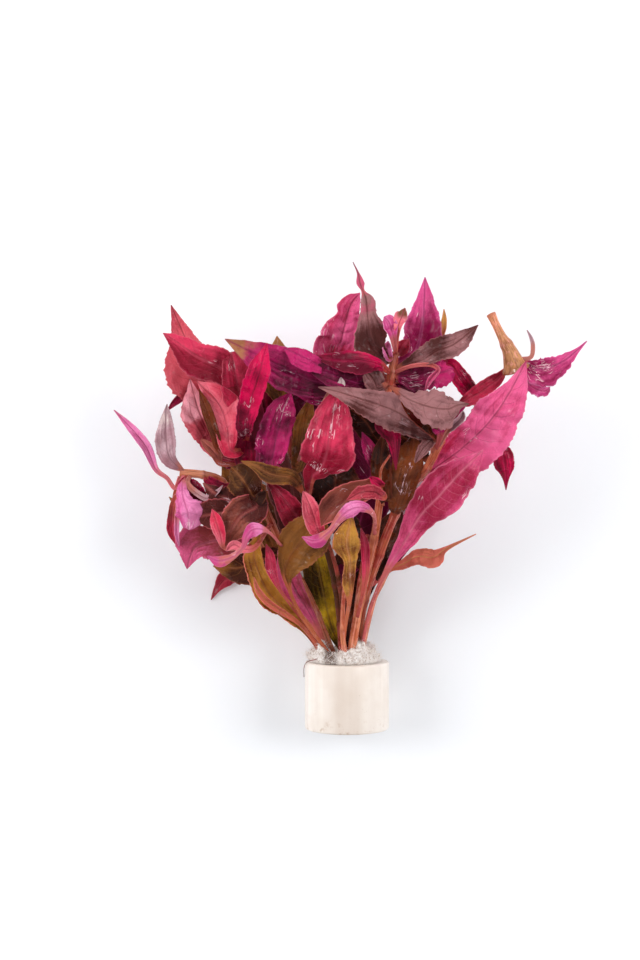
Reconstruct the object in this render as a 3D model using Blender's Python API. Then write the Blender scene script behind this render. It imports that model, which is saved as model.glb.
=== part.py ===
"""Scarlet temple plant: a bunch of leafy stems held by rock wool in a ceramic ring, lying on its side.

The bunch lies along Y on the plane Z = 0: the ring is at the -Y end and the leaves fan out towards +Y.
Leaves and stems are placed as they are seen from straight above. Each point of a midrib or a stem starts with
(column, row, height): its pixel in the 640 x 960 photograph, and its height over the surface in millimetres.
All other sizes are in millimetres, and angles are in degrees.
"""

import math

import bmesh
import bpy
from mathutils import Vector

MM = 0.001

# The eye that looks down on the bunch. The ring is 84 pixels wide, which sets the scale.
MIDDLE_COLUMN = 320
MIDDLE_ROW = 480
FOCAL_PIXELS = 1487
EYE_HEIGHT = 546

# Ceramic ring and rock wool
RING_COLUMN = 347
RING_MOUTH_ROW = 661
RING_RADIUS = 15.0
RING_BORE = 11.0
RING_LENGTH = 24.0
RING_EDGE = 0.7
RING_SIDES = 32
WOOL_SIDES = 20
WOOL_LUMP = 0.5
GAP = 0.35

# Leaves and stems
LEAF_THICKNESS = 0.5
MARGIN_THICKNESS = 0.32
PETIOLE_THICKNESS = 1.0
PETIOLE_HALF_WIDTH = 0.65
TIP_HALF_WIDTH = 0.15
BLADE_COLUMNS = 4
STEM_SIDES = 7

# Colours: red, green, blue and roughness
COLOURS = {
    "rose": (0.56, 0.06, 0.15, 0.35),
    "crimson": (0.36, 0.01, 0.06, 0.35),
    "wine": (0.20, 0.01, 0.09, 0.3),
    "umber": (0.16, 0.07, 0.07, 0.4),
    "olive": (0.26, 0.14, 0.03, 0.4),
    "orchid": (0.70, 0.12, 0.32, 0.35),
    "stem": (0.55, 0.17, 0.10, 0.4),
    "wool": (0.72, 0.66, 0.58, 0.95),
    "ceramic": (0.84, 0.78, 0.70, 0.45),
}

# Stems: name, and the midline's points from the foot up, each with the stem's radius
STEMS = [
    ("right_stem", [
        (352, 674, 15, 1.7), (364, 600, 24, 1.6), (379, 555, 31, 1.6), (395, 515, 37, 1.5), (412, 485, 42, 1.5),
        (427, 468, 46, 1.4), (441, 440, 53, 1.4)]),
    ("centre_stem", [
        (348, 674, 21, 1.6), (360, 600, 28, 1.5), (374, 540, 35, 1.4), (383, 470, 41, 1.3), (387, 400, 47, 1.3),
        (392, 371, 50, 1.5), (396, 352, 51, 1.1)]),
    ("left_centre_stem", [
        (343, 674, 17.5, 1.5), (341, 625, 20, 1.5), (336, 585, 25, 1.4), (326, 545, 30, 1.4), (306, 500, 35, 1.3),
        (292, 455, 39, 1.3), (283, 410, 41, 1.2)]),
    ("left_stem", [
        (340, 674, 13.8, 1.4), (312, 604, 17, 1.4), (283, 548, 22, 1.3), (262, 500, 28, 1.3), (250, 462, 34, 1.2),
        (244, 430, 39, 1.1)]),
    ("side_stem", [
        (343, 671, 9.6, 1.4), (308, 618, 8, 1.4), (268, 560, 12, 1.4), (241, 510, 20, 1.4), (222, 482, 27, 1.4),
        (203, 475, 30, 1.4), (180, 473, 30, 1.5)]),
    ("loose_cutting", [
        (491, 314, 44, 1.4), (501, 335, 45, 1.5), (510, 352, 45, 2.6), (516, 369, 43, 4.2)]),
]

# Leaves that grow from a stem: name, colour, stem, share of its points, roll at base and tip, fold, curl, wave,
# and the points of the midrib after the base, each with the blade's reach to its left and right
STEM_LEAVES = [
    # Far left, from the top down
    ("tall_left_leaf", "rose", "left_stem", 0.97, (0, 0), 8, 10, 0.5, [
        (214, 397, 35, 11, 6), (197, 365, 37, 10.3, 7), (186, 337, 36, 5.4, 4.2), (171, 305, 33)]),
    ("curled_tip_leaf", "crimson", "left_stem", 1.0, (0, 0), 8, 10, 0.4, [
        (247, 404, 47, 0.7, 0.7), (226, 372, 50, 5, 7.5), (198, 357, 51, 7.5, 6), (177, 342, 49, 3, 2.5), (163, 333, 46)]),
    ("glossy_rose_leaf", "rose", "left_stem", 0.8, (0, 0), 10, 10, 0.4, [
        (213, 447, 38, 4.5, 4.5), (200, 420, 40, 6.8, 5), (193, 400, 41, 3.6, 3), (190, 380, 39)]),
    ("salmon_leaf", "rose", "left_stem", 0.88, (0, 0), 8, 10, 0.3, [
        (237, 442, 44, 4, 1.5), (226, 416, 45, 4.5, 5.6), (211, 396, 45, 2.5, 4), (197, 381, 42)]),
    ("grey_left_leaf", "umber", "side_stem", 0.98, (0, 0), 8, 10, 0.3, [
        (170, 458, 34, 3.3, 2.2), (166, 440, 35, 3.8, 3.6), (166, 420, 36, 2, 2.3), (167, 404, 34)]),
    ("far_left_leaf", "rose", "side_stem", 1.0, (10, -10), 25, 10, 0.2, [
        (161, 481, 27, 0.8, 0.8), (152, 467, 27, 1.2, 1.2), (147, 448, 27, 2, 2), (132, 429, 26, 1.7, 1.7), (114, 410, 24)]),
    ("orchid_leaf", "orchid", "side_stem", 0.97, (0, 0), -10, -20, 0.3, [
        (186, 492, 37, 2.8, 3), (191, 508, 40, 6, 5.2), (192, 524, 39, 5.5, 5.5), (188, 543, 35)]),
    ("lower_left_leaf", "orchid", "side_stem", 0.48, (0, 0), 8, 10, 0.4, [
        (230, 532, 29, 4.5, 5), (207, 546, 31, 5, 7), (195, 558, 30, 3, 4.4), (187, 569, 28)]),
    ("wet_mauve_leaf", "umber", "left_stem", 0.58, (0, 0), -10, -20, 0.2, [
        (237, 506, 38, 4, 4.5), (222, 497, 40, 4.5, 4.5), (210, 488, 39, 3, 3), (202, 481, 36)]),
    ("left_cupped_leaf", "umber", "left_stem", 0.62, (0, 0), 10, 50, 0.4, [
        (256, 508, 46, 4.5, 6), (243, 522, 49, 8, 8.5), (232, 536, 49, 5, 5), (224, 547, 47)]),
    ("left_pink_lip", "orchid", "left_stem", 0.42, (0, 0), -10, -20, 0.2, [
        (272, 540, 36, 0.7, 0.7), (268, 533, 50, 0.8, 0.8), (250, 530, 58, 2.8, 2.2), (242, 545, 59, 2, 2),
        (226, 558, 57, 2.2, 2), (207, 556, 53)]),
    # Top
    ("purple_wing_leaf", "wine", "centre_stem", 0.72, (0, 0), 8, 10, 0.5, [
        (325, 384, 53, 4.5, 7.5), (290, 371, 57, 7.3, 7.7), (257, 355, 59, 5, 4.5), (225, 339, 57)]),
    ("olive_tip_leaf", "olive", "left_centre_stem", 1.0, (0, 0), 8, 10, 0.4, [
        (281, 385, 43, 6, 6), (279, 360, 44, 5, 5), (277, 336, 42)]),
    ("red_folded_leaf", "crimson", "left_stem", 0.93, (-25, -25), 35, 10, 0.3, [
        (247, 430, 54, 3, 3), (250, 402, 61, 3.4, 3.2), (260, 370, 65, 4.2, 4), (268, 344, 63)]),
    ("tall_pink_leaf", "rose", "centre_stem", 0.78, (0, 0), 6, 10, 0.4, [
        (345, 355, 44, 8.5, 5), (344, 330, 48, 8, 5.8), (350, 305, 50, 2.2, 3.5), (359, 285, 50, 0.6, 1.5), (353, 262, 47)]),
    ("top_brown_leaf", "umber", "centre_stem", 0.9, (0, 0), 10, 10, 0.4, [
        (377, 347, 54, 7, 3), (371, 325, 55, 4, 3.8), (367, 303, 55, 2.2, 2.5), (363, 284, 53)]),
    ("tall_magenta_leaf", "rose", "centre_stem", 0.88, (0, 0), 8, 10, 0.4, [
        (415, 350, 44, 4.5, 6), (423, 325, 44, 6, 6.5), (424, 300, 43, 2.4, 3.4), (425, 277, 41)]),
    ("small_orchid_leaf", "orchid", "centre_stem", 1.0, (0, 0), 20, 10, 0.2, [
        (391, 332, 60, 3, 3), (396, 320, 60, 2.5, 2.5), (401, 310, 58)]),
    ("dark_right_leaf", "umber", "centre_stem", 0.86, (0, 0), 8, 10, 0.3, [
        (420, 359, 55, 5, 1.7), (450, 343, 56, 3.7, 4.5), (478, 325, 53)]),
    ("under_right_leaf", "crimson", "centre_stem", 0.8, (0, 0), 8, 10, 0.3, [
        (412, 376, 47, 4.5, 5.5), (432, 371, 47, 5, 5.8), (446, 368, 46, 3.5, 4.6), (455, 366, 44)]),
    ("dark_band_leaf", "crimson", "centre_stem", 0.75, (0, 0), 8, 10, 0.2, [
        (425, 378, 38, 1, 1), (450, 365, 37, 2.2, 2), (462, 379, 37, 3.3, 3.4), (471, 396, 36, 3, 3), (480, 414, 35)]),
    ("arching_crimson_leaf", "crimson", "centre_stem", 0.82, (0, 0), 8, 10, 0.3, [
        (378, 367, 58, 4, 3.5), (358, 363, 61, 6, 4), (338, 359, 61, 3.5, 2.5), (319, 358, 59)]),
    # Middle
    ("long_grey_leaf", "umber", "right_stem", 1.0, (0, 0), 8, 10, 0.6, [
        (420, 425, 60, 4.3, 3.5), (395, 411, 61, 7.2, 4.2), (365, 400, 62, 5.6, 3.8), (340, 393, 62, 2.6, 1.9), (318, 386, 60)]),
    ("right_grey_leaf", "umber", "centre_stem", 0.73, (0, 0), -6, -10, 0.6, [
        (394, 389, 59, 0.7, 0.7), (410, 401, 68.5, 3.4, 2.4), (432, 407, 70, 5.6, 5.4), (448, 408, 68, 4, 7), (458, 405, 66, 1.4, 1.6), (469, 404, 64)]),
    ("big_centre_leaf", "rose", "left_centre_stem", 0.66, (0, 0), 8, 10, 0.4, [
        (321, 480, 50, 5.5, 3.5), (325, 462, 54, 9.2, 9), (331, 435, 57, 9.5, 7.6), (336, 405, 57, 5, 4.6), (342, 377, 56)]),
    ("purple_glossy_leaf", "wine", "left_centre_stem", 0.75, (0, 0), 10, 10, 0.5, [
        (273, 462, 44, 4, 3.5), (277, 440, 46, 4.5, 4), (284, 418, 47, 4, 4.5), (290, 394, 47)]),
    ("deep_crimson_leaf", "crimson", "left_stem", 0.7, (0, 0), 8, 10, 0.3, [
        (255, 458, 29, 4, 4), (256, 425, 31, 5, 4), (262, 395, 31)]),
    ("tan_leaf", "olive", "left_centre_stem", 0.7, (0, 0), 8, 10, 0.2, [
        (290, 479, 47, 2, 2.2), (270, 471, 50, 2.7, 2.3), (254, 464, 49, 1.2, 1.2), (241, 462, 47)]),
    ("hanging_crimson_leaf", "crimson", "centre_stem", 0.64, (0, 0), 8, 10, 0.2, [
        (388, 425, 53, 4.5, 4.5), (391, 442, 53, 3.6, 3), (394, 455, 51, 1.2, 1.2), (394, 467, 49)]),
    ("wet_brown_leaf", "olive", "right_stem", 0.5, (0, 0), -6, -10, 0.4, [
        (397, 500, 46, 4, 4), (403, 480, 47, 5, 4.5), (411, 458, 49, 6, 4), (415, 430, 47.5)]),
    ("dusk_leaf", "wine", "left_centre_stem", 0.57, (0, 0), 8, 10, 0.3, [
        (298, 520, 34.5, 5.5, 3.6), (285, 504, 38, 4.5, 3.2), (275, 491, 40, 1.6, 1.3), (267, 480, 40)]),
    ("centre_cupped_leaf", "umber", "centre_stem", 0.47, (0, 0), 10, 50, 0.4, [
        (366, 491, 51, 4.5, 4.5), (345, 503, 53, 7, 8), (330, 517, 53, 4.5, 6), (319, 529, 51)]),
    ("centre_pink_lip", "orchid", "centre_stem", 0.35, (0, 0), -10, -20, 0.2, [
        (372, 517, 51, 0.7, 0.7), (358, 510, 63, 1.5, 2), (346, 512, 66, 2.8, 2.2), (338, 526, 65, 2, 2),
        (321, 540, 62, 2.2, 2), (302, 538, 58)]),
    ("narrow_rose_leaf", "rose", "centre_stem", 0.13, (0, 0), 8, 10, 0.2, [
        (363, 594, 35, 1, 0.8), (366, 575, 39, 2.2, 1.6), (366, 558, 41, 2, 2), (365, 543, 42, 2, 1.5), (361, 528, 41)]),
    ("big_upper_leaf", "rose", "right_stem", 0.78, (0, 0), 6, 8, 0.5, [
        (442, 463, 46, 4, 4), (460, 450, 47, 6.7, 9.6), (480, 432, 49, 6.6, 10.4), (497, 412, 50, 8, 8.7),
        (512, 388, 50, 4.2, 5.7), (526, 361, 48)]),
    ("hanging_dark_leaf", "crimson", "right_stem", 0.7, (0, 0), 8, 10, 0.2, [
        (480, 452, 38, 0.8, 0.8), (500, 452, 39, 3, 3.5), (505, 465, 39, 3.4, 3.8), (506, 478, 38, 1.2, 1.3), (506, 490, 36)]),
    # Far right, on the loose cutting
    ("far_right_leaf", "rose", "loose_cutting", 0.9, (0, 0), 15, 10, 0.3, [
        (540, 368, 45, 3.7, 7.3), (560, 362, 45, 2.7, 3.5), (575, 352, 43, 1, 1), (587, 341, 41)]),
    ("crimson_long_leaf", "crimson", "loose_cutting", 0.95, (0, 0), 8, 10, 0.2, [
        (497, 380, 40, 2, 2.4), (480, 392, 40, 3, 2.8), (466, 400, 40, 2.5, 1.8), (457, 405, 38)]),
    # Underneath, near the surface
    ("lower_tail_leaf", "crimson", "side_stem", 0.2, (0, 0), 8, 10, 0.2, [
        (268, 588, 4, 1.5, 2), (243, 573, 2, 5, 5.5), (227, 579, 1.5, 3.4, 4.6), (217, 591, 1, 0.8, 0.8), (211, 600, 0.7)]),
    ("low_left_leaf", "olive", "side_stem", 0.27, (0, 0), 8, 5, 0.3, [
        (280, 570, 2.5, 3, 3), (268, 535, 1.1, 8, 8), (244, 495, 0.9, 9, 8), (222, 458, 0.6)]),
    ("low_middle_leaf", "umber", "left_stem", 0.3, (0, 0), 8, 5, 0.3, [
        (290, 564, 9, 1.5, 1.5), (296, 530, 7, 6, 6), (291, 480, 9, 9, 9), (285, 425, 9, 9, 8), (264, 383, 7)]),
    ("low_centre_leaf", "wine", "left_centre_stem", 0.3, (0, 0), 8, 5, 0.3, [
        (352, 550, 12, 6, 6), (370, 480, 12, 10, 10), (372, 420, 12, 8, 8), (368, 372, 10)]),
    ("low_right_leaf", "crimson", "right_stem", 0.2, (0, 0), 8, 5, 0.3, [
        (392, 565, 3, 3, 3), (430, 510, 0.9, 7, 6), (465, 465, 0.7, 6, 6), (496, 425, 0.5)]),
]

# Leaves that grow out of the rock wool, with the whole midrib
BASAL_LEAVES = [
    ("boat_leaf", "olive", (0, 0), 25, 25, 0.3, [
        (328, 664, 15), (308, 633, 19, 1.6, 1.6), (286, 611, 25, 3.6, 4), (268, 592, 31, 6.2, 5.2), (258, 566, 38, 4.5, 3.4),
        (256, 548, 41, 3.2, 3.2), (262, 531, 43)]),
    ("broad_brown_leaf", "olive", (0, 0), 8, 10, 0.4, [
        (337, 664, 20.5), (303, 618, 27, 0.7, 0.7), (289, 588, 33, 0.8, 0.9), (285, 568, 36, 2, 5), (296, 548, 38, 7, 8),
        (312, 530, 41, 7, 8), (325, 512, 42)]),
    ("narrow_crimson_leaf", "crimson", (0, 0), 8, 10, 0.2, [
        (334, 664, 19), (316, 640, 20.5), (299, 625, 26.5), (284, 604, 33, 0.7, 0.7), (274, 588, 42, 1.3, 1.3),
        (271, 570, 46, 2, 2), (270, 556, 46, 1.6, 1.6), (266, 544, 44)]),
    ("mauve_leaf", "rose", (0, 0), 8, 10, 0.3, [
        (331, 664, 17), (318, 630, 20, 1, 1.2), (307, 609, 23, 2.4, 2), (295, 589, 26, 4.8, 3.4), (286, 568, 28, 3.5, 4),
        (278, 550, 28)]),
    ("green_leaf", "olive", (0, 0), 8, 10, 0.3, [
        (350, 664, 8.5), (333, 630, 10, 2.5, 2.2), (326, 605, 11, 5.8, 5), (321, 582, 12, 6.5, 6), (316, 555, 13, 4.5, 4.5),
        (312, 535, 13)]),
    ("tan_centre_leaf", "olive", (0, 0), 10, 10, 0.4, [
        (341, 664, 22.5), (345, 628, 28), (349, 603, 34, 0.8, 0.8), (350, 580, 40, 2.8, 1.6), (350, 560, 45, 2.2, 2.4),
        (347, 541, 49, 5, 4.6), (352, 514, 52)]),
    ("big_lower_leaf", "rose", (0, 0), 6, 8, 0.5, [
        (358, 664, 19), (371, 607, 28, 0.9, 0.9), (386, 572, 37, 1.6, 1.4), (404, 543, 44, 4.2, 2.8), (420, 515, 48, 6.8, 5.6),
        (440, 495, 52, 8.7, 7.6), (457, 476, 54, 6.3, 6.8), (470, 463, 55, 3, 4.2), (483, 450, 55)]),
    ("tendril_leaf", "olive", (0, 30), 10, 10, 0.2, [
        (360, 664, 14), (373, 605, 20, 0.7, 0.7), (386, 573, 26, 0.8, 0.8), (403, 564, 29, 1.6, 2), (417, 557, 31, 2.6, 3),
        (434, 557, 32, 2.8, 4), (446, 549, 32, 1, 1), (476, 534, 30)]),
]


def seen_at(column, row, height):
    """The point under a pixel of the photograph at a height over the surface."""
    reach = (EYE_HEIGHT - height) / FOCAL_PIXELS
    return Vector(((column - MIDDLE_COLUMN) * reach, (MIDDLE_ROW - row) * reach, height))


def smooth(values, u):
    """A value on the smooth curve through evenly spaced numbers or points, at a share u from 0 to 1."""
    place = u * (len(values) - 1)
    k = min(int(place), len(values) - 2)
    t = place - k
    b, c = values[k], values[k + 1]
    a = values[k - 1] if k > 0 else b * 2 - c
    d = values[k + 2] if k + 2 < len(values) else c * 2 - b
    return (2 * b + (c - a) * t + (2 * a - 5 * b + 4 * c - d) * t**2 + (3 * b - a - 3 * c + d) * t**3) / 2


def frames(line):
    """Each point of a line with its tangent, the direction to the right and the direction up."""
    for i, point in enumerate(line):
        tangent = (line[min(i + 1, len(line) - 1)] - line[max(i - 1, 0)]).normalized()
        right = tangent.cross(Vector((0, 0, 1))).normalized()
        yield point, tangent, right, right.cross(tangent)


def material(colour):
    if colour in bpy.data.materials:
        return bpy.data.materials[colour]
    red, green, blue, roughness = COLOURS[colour]
    made = bpy.data.materials.new(colour)
    made.use_nodes = True
    shader = made.node_tree.nodes["Principled BSDF"]
    shader.inputs["Base Color"].default_value = (red, green, blue, 1)
    shader.inputs["Roughness"].default_value = roughness
    shader.inputs["Metallic"].default_value = 0
    return made


def skin(name, colour, rings, closed=False):
    """A closed solid through rings of points. Its two ends are capped, unless the last ring joins the first."""
    mesh = bmesh.new()
    origin = sum(rings[0], Vector()) / len(rings[0])
    loops = [[mesh.verts.new((point - origin) * MM) for point in ring] for ring in rings]
    pairs = list(zip(loops, loops[1:]))
    if closed:
        pairs.append((loops[-1], loops[0]))
    else:
        mesh.faces.new(loops[0][::-1])
        mesh.faces.new(loops[-1])
    for low, high in pairs:
        for i in range(len(low)):
            j = (i + 1) % len(low)
            mesh.faces.new((low[i], low[j], high[j], high[i]))
    if mesh.calc_volume(signed=True) < 0:
        bmesh.ops.reverse_faces(mesh, faces=mesh.faces)
    data = bpy.data.meshes.new(name)
    mesh.to_mesh(data)
    mesh.free()
    data.shade_smooth()
    data.set_sharp_from_angle(angle=math.radians(50))
    data.materials.append(material(colour))
    part = bpy.data.objects.new(name, data)
    part.location = origin * MM
    bpy.context.scene.collection.objects.link(part)


def leaf(name, colour, roll, fold, curl, wave, stations):
    """A thin blade on its petiole. Its halves are folded up by an angle, and curl further towards their margins."""
    points = [seen_at(*station[:3]) for station in stations]
    reaches = [station[3:] or (PETIOLE_HALF_WIDTH, PETIOLE_HALF_WIDTH) for station in stations]
    reaches[-1] = (TIP_HALF_WIDTH, TIP_HALF_WIDTH)
    rows = len(stations) + 1
    line = [smooth(points, i / rows) for i in range(rows + 1)]
    bend, turn = math.radians(fold), math.radians(curl)
    rings = []
    for i, (point, tangent, right, up) in enumerate(frames(line)):
        t = i / rows
        spin = math.radians(roll[0] + (roll[1] - roll[0]) * t)
        across = right * math.cos(spin) + up * math.sin(spin)
        normal = up * math.cos(spin) - right * math.sin(spin)
        rib = LEAF_THICKNESS + (PETIOLE_THICKNESS - LEAF_THICKNESS) * max(0, 1 - 2.5 * t)
        top, bottom = [], []
        for j in range(BLADE_COLUMNS + 1):
            v = 2 * j / BLADE_COLUMNS - 1
            s = abs(v)
            half = max(smooth([reach[v > 0] for reach in reaches], t), TIP_HALF_WIDTH)
            slope = bend + turn * s
            out = half * (math.sin(slope) - math.sin(bend)) / turn
            rise = half * (math.cos(bend) - math.cos(slope)) / turn
            ripple = wave * min(1, half / 5) * s**2 * math.sin(math.tau * (2.2 * t + 0.25 * v))
            middle = point + across * math.copysign(out, v) + normal * (rise + ripple)
            facing = normal * math.cos(slope) - across * math.copysign(math.sin(slope), v)
            thick = rib + (MARGIN_THICKNESS - rib) * s
            top.append(middle + facing * thick / 2)
            bottom.append(middle - facing * thick / 2)
        rings.append(top + bottom[::-1])
    skin(name, colour, rings)


def stem_leaf(name, colour, stem_name, share, roll, fold, curl, wave, stations):
    """A leaf whose base is at the side of its stem that faces the leaf's next point."""
    midline = next(points for name, points in STEMS if name == stem_name)
    points = [seen_at(*point[:3]) for point in midline]
    axis = smooth(points, share)
    along = (smooth(points, min(1, share + 0.01)) - smooth(points, share - 0.01)).normalized()
    aim = seen_at(*stations[0][:3]) - axis
    aside = (aim - along * aim.dot(along)).normalized()
    radius = smooth([point[3] for point in midline], share)
    base = axis + aside * (radius + PETIOLE_THICKNESS / 2 + GAP)
    reach = (EYE_HEIGHT - base.z) / FOCAL_PIXELS
    pixel = (MIDDLE_COLUMN + base.x / reach, MIDDLE_ROW - base.y / reach, base.z)
    leaf(name, colour, roll, fold, curl, wave, [pixel] + stations)


def stem(name, midline):
    points = [seen_at(*point[:3]) for point in midline]
    radii = [point[3] for point in midline]
    rows = 2 * len(midline) - 3
    turns = [math.tau * k / STEM_SIDES for k in range(STEM_SIDES)]
    rings = []
    for i, (point, tangent, right, up) in enumerate(frames([smooth(points, i / rows) for i in range(rows + 1)])):
        radius = smooth(radii, i / rows)
        rings.append([point + (right * math.cos(turn) + up * math.sin(turn)) * radius for turn in turns])
    skin(name, "stem", rings)


def turned(name, colour, profile, sides, lump=0, closed=False):
    """A shape turned about the ring's axis. The profile's points are (distance out of the mouth, radius)."""
    mouth = seen_at(RING_COLUMN, RING_MOUTH_ROW, RING_RADIUS)
    rings = []
    for along, radius in profile:
        ring = []
        for k in range(sides):
            turn = math.tau * k / sides - math.pi / 2
            swell = lump * max(0, along) * math.sin(3 * turn + along) / 4
            reach = radius + swell
            ring.append(mouth + Vector((reach * math.cos(turn), along + swell, reach * math.sin(turn))))
        rings.append(ring)
    skin(name, colour, rings, closed)


def ring_and_wool():
    edge, outer, bore, foot = RING_EDGE, RING_RADIUS, RING_BORE, -RING_LENGTH
    ring_profile = [
        (0, bore + edge), (0, outer - edge), (-edge, outer), (foot + edge, outer),
        (foot, outer - edge), (foot, bore + edge), (foot + edge, bore), (-edge, bore)]
    turned("ceramic_ring", "ceramic", ring_profile, RING_SIDES, closed=True)
    plug = bore - GAP
    wool_profile = [
        (foot + 0.6, plug - 1.2), (foot + 1.6, plug), (0, plug), (0.7, 12.8), (2.2, 13.8), (4, 13.4),
        (4.8, 12.4), (4, 11.4), (1, 9.8), (-2, 8.8), (-6, 8.2)]
    turned("rock_wool", "wool", wool_profile, WOOL_SIDES, lump=WOOL_LUMP)


def centre_over_origin():
    """Moves all parts along X and Y, so that the middle of the bunch is over the origin."""
    parts = bpy.context.scene.objects
    corners = [part.location + vertex.co for part in parts for vertex in part.data.vertices]
    low = Vector([min(corner[axis] for corner in corners) for axis in range(3)])
    high = Vector([max(corner[axis] for corner in corners) for axis in range(3)])
    for part in parts:
        part.location -= Vector(((low.x + high.x) / 2, (low.y + high.y) / 2, 0))


def build():
    for old in list(bpy.data.objects):
        bpy.data.objects.remove(old)
    ring_and_wool()
    for entry in STEMS:
        stem(*entry)
    for entry in STEM_LEAVES:
        stem_leaf(*entry)
    for entry in BASAL_LEAVES:
        leaf(*entry)
    centre_over_origin()


build()
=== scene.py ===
import math
import random

import bpy
import numpy as np
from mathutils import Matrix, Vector


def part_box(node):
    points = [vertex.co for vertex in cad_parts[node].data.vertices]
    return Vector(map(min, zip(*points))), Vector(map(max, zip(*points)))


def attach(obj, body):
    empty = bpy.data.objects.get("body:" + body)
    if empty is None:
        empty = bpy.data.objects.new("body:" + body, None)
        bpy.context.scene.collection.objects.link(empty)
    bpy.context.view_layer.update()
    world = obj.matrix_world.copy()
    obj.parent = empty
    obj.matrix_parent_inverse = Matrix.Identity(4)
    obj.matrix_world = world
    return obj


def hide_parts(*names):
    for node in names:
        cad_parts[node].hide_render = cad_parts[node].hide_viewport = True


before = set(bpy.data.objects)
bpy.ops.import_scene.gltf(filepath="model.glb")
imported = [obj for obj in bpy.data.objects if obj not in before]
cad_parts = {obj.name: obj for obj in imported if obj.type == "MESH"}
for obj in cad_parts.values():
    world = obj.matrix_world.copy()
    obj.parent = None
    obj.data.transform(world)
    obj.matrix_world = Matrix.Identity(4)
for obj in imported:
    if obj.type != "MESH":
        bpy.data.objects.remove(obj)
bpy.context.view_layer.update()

bpy.ops.object.select_all(action="DESELECT")

# The eye and the surface
# The bunch is photographed from straight above, where it lies on a white table between soft lamps.
# Points of the bunch are given as it is seen from there: (column, row) in the 640 x 960 photograph, and the
# height over the table in millimetres. The ring is 30 mm wide, and it is 84 pixels wide in the photograph.
MM = 0.001
PICTURE_MIDDLE = (320, 480)
PICTURE_ROWS = 960
FOCAL_PIXELS = 1487
EYE_HEIGHT = 546
FILM_HEIGHT = 36
# The middle of the ring's mouth
MOUTH_SEEN_AT = (347, 661, 15)


def seen_at(points):
    """The real places, in millimetres, of rows of (column, row, height)."""
    points = np.atleast_2d(np.asarray(points, float))
    reach = (EYE_HEIGHT - points[:, 2]) / FOCAL_PIXELS
    x = (points[:, 0] - PICTURE_MIDDLE[0]) * reach
    y = (PICTURE_MIDDLE[1] - points[:, 1]) * reach
    return np.stack([x, y, points[:, 2]], axis=1) + eye_place


ring_low, ring_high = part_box("ceramic_ring")
ring_axis_x = (ring_low.x + ring_high.x) / 2
ring_axis_z = (ring_low.z + ring_high.z) / 2
eye_place = np.zeros(3)
eye_place = np.array([ring_axis_x / MM, ring_high.y / MM, 0]) - seen_at(MOUTH_SEEN_AT)[0] * (1, 1, 0)

bpy.ops.object.camera_add(location=(*(eye_place[:2] * MM), EYE_HEIGHT * MM), rotation=(0, 0, 0))
eye = bpy.context.object
eye.name = "eye"
eye.data.sensor_fit = "VERTICAL"
eye.data.sensor_height = FILM_HEIGHT
eye.data.lens = FILM_HEIGHT * FOCAL_PIXELS / PICTURE_ROWS
eye.data.clip_start = 0.01
eye.data.clip_end = 20
bpy.context.scene.camera = eye


def paint(red, green, blue):
    """A colour as the eye sees it, 0 to 255, turned into what a shader takes."""
    values = [((c / 255 + 0.055) / 1.055) ** 2.4 if c > 10 else c / 3295 for c in (red, green, blue)]
    return (*values, 1)


class Finish:
    """A new material, with short ways to add its nodes."""

    def __init__(self, name):
        self.material = bpy.data.materials.new(name)
        self.material.use_nodes = True
        self.tree = self.material.node_tree
        self.inputs = self.tree.nodes["Principled BSDF"].inputs

    def put(self, socket, value):
        if isinstance(value, bpy.types.NodeSocket):
            self.tree.links.new(value, socket)
        else:
            socket.default_value = value

    def node(self, kind, *inputs, settings=(), **named):
        """A new node. Its inputs are given in their order, or by their names."""
        made = self.tree.nodes.new("ShaderNode" + kind)
        for key, value in dict(settings).items():
            setattr(made, key, value)
        for place, value in [*enumerate(inputs), *named.items()]:
            self.put(made.inputs[place], value)
        return made

    def maths(self, operation, first, second=0.0, third=0.0):
        return self.node("Math", first, second, third, settings={"operation": operation}).outputs[0]

    def times(self, first, second):
        return self.maths("MULTIPLY", first, second)

    def plus(self, first, second):
        return self.maths("ADD", first, second)

    def mix(self, share, first, second):
        """The first colour where the share is 0, the second where it is 1, and between them elsewhere."""
        made = self.node("Mix", settings={"data_type": "RGBA"})
        for place, value in zip((0, 6, 7), (share, first, second)):
            self.put(made.inputs[place], value)
        return made.outputs[2]

    def coat(self, share, *colour):
        """Lays a colour over the colour so far, as thickly as the share says."""
        self.colour = self.mix(share, self.colour, paint(*colour))

    def spread(self, value, low, high, to_low=0.0, to_high=1.0):
        """Carries a value smoothly from one range to another, and keeps it inside that."""
        smoothly = {"interpolation_type": "SMOOTHSTEP"}
        return self.node("MapRange", value, low, high, to_low, to_high, settings=smoothly).outputs[0]

    def places(self, stretch=(1, 1, 1)):
        """Where each point of the surface is in space."""
        return self.node("Mapping", self.node("TexCoord").outputs["Object"], Scale=stretch).outputs[0]

    def unrolled(self, stretch=(1, 1, 1)):
        """Where each point of the surface is on the piece's own map, across and along it."""
        return self.node("Mapping", self.node("UVMap").outputs[0], Scale=stretch).outputs[0]

    def mark(self, name):
        """A value that is painted on the piece's points."""
        return self.node("Attribute", settings={"attribute_name": name}).outputs["Fac"]

    def noise(self, scale, detail=3.0, roughness=0.5, where=None):
        made = self.node("TexNoise", where or self.places(), Scale=scale, Detail=detail, Roughness=roughness)
        return made.outputs[0]

    def bump(self, height, strength, distance):
        made = self.node("Bump", Height=height, Strength=strength, Distance=distance)
        self.put(self.inputs["Normal"], made.outputs[0])


table_white = Finish("table_white")
table_white.inputs["Base Color"].default_value = (0.90, 0.915, 0.945, 1)
table_white.inputs["Roughness"].default_value = 0.6
table_white.inputs["Specular IOR Level"].default_value = 0.2

bpy.ops.mesh.primitive_plane_add(size=6, location=(0, 0, 0))
table_top = bpy.context.object
table_top.name = "table_top"
table_top.data.materials.append(table_white.material)

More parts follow.
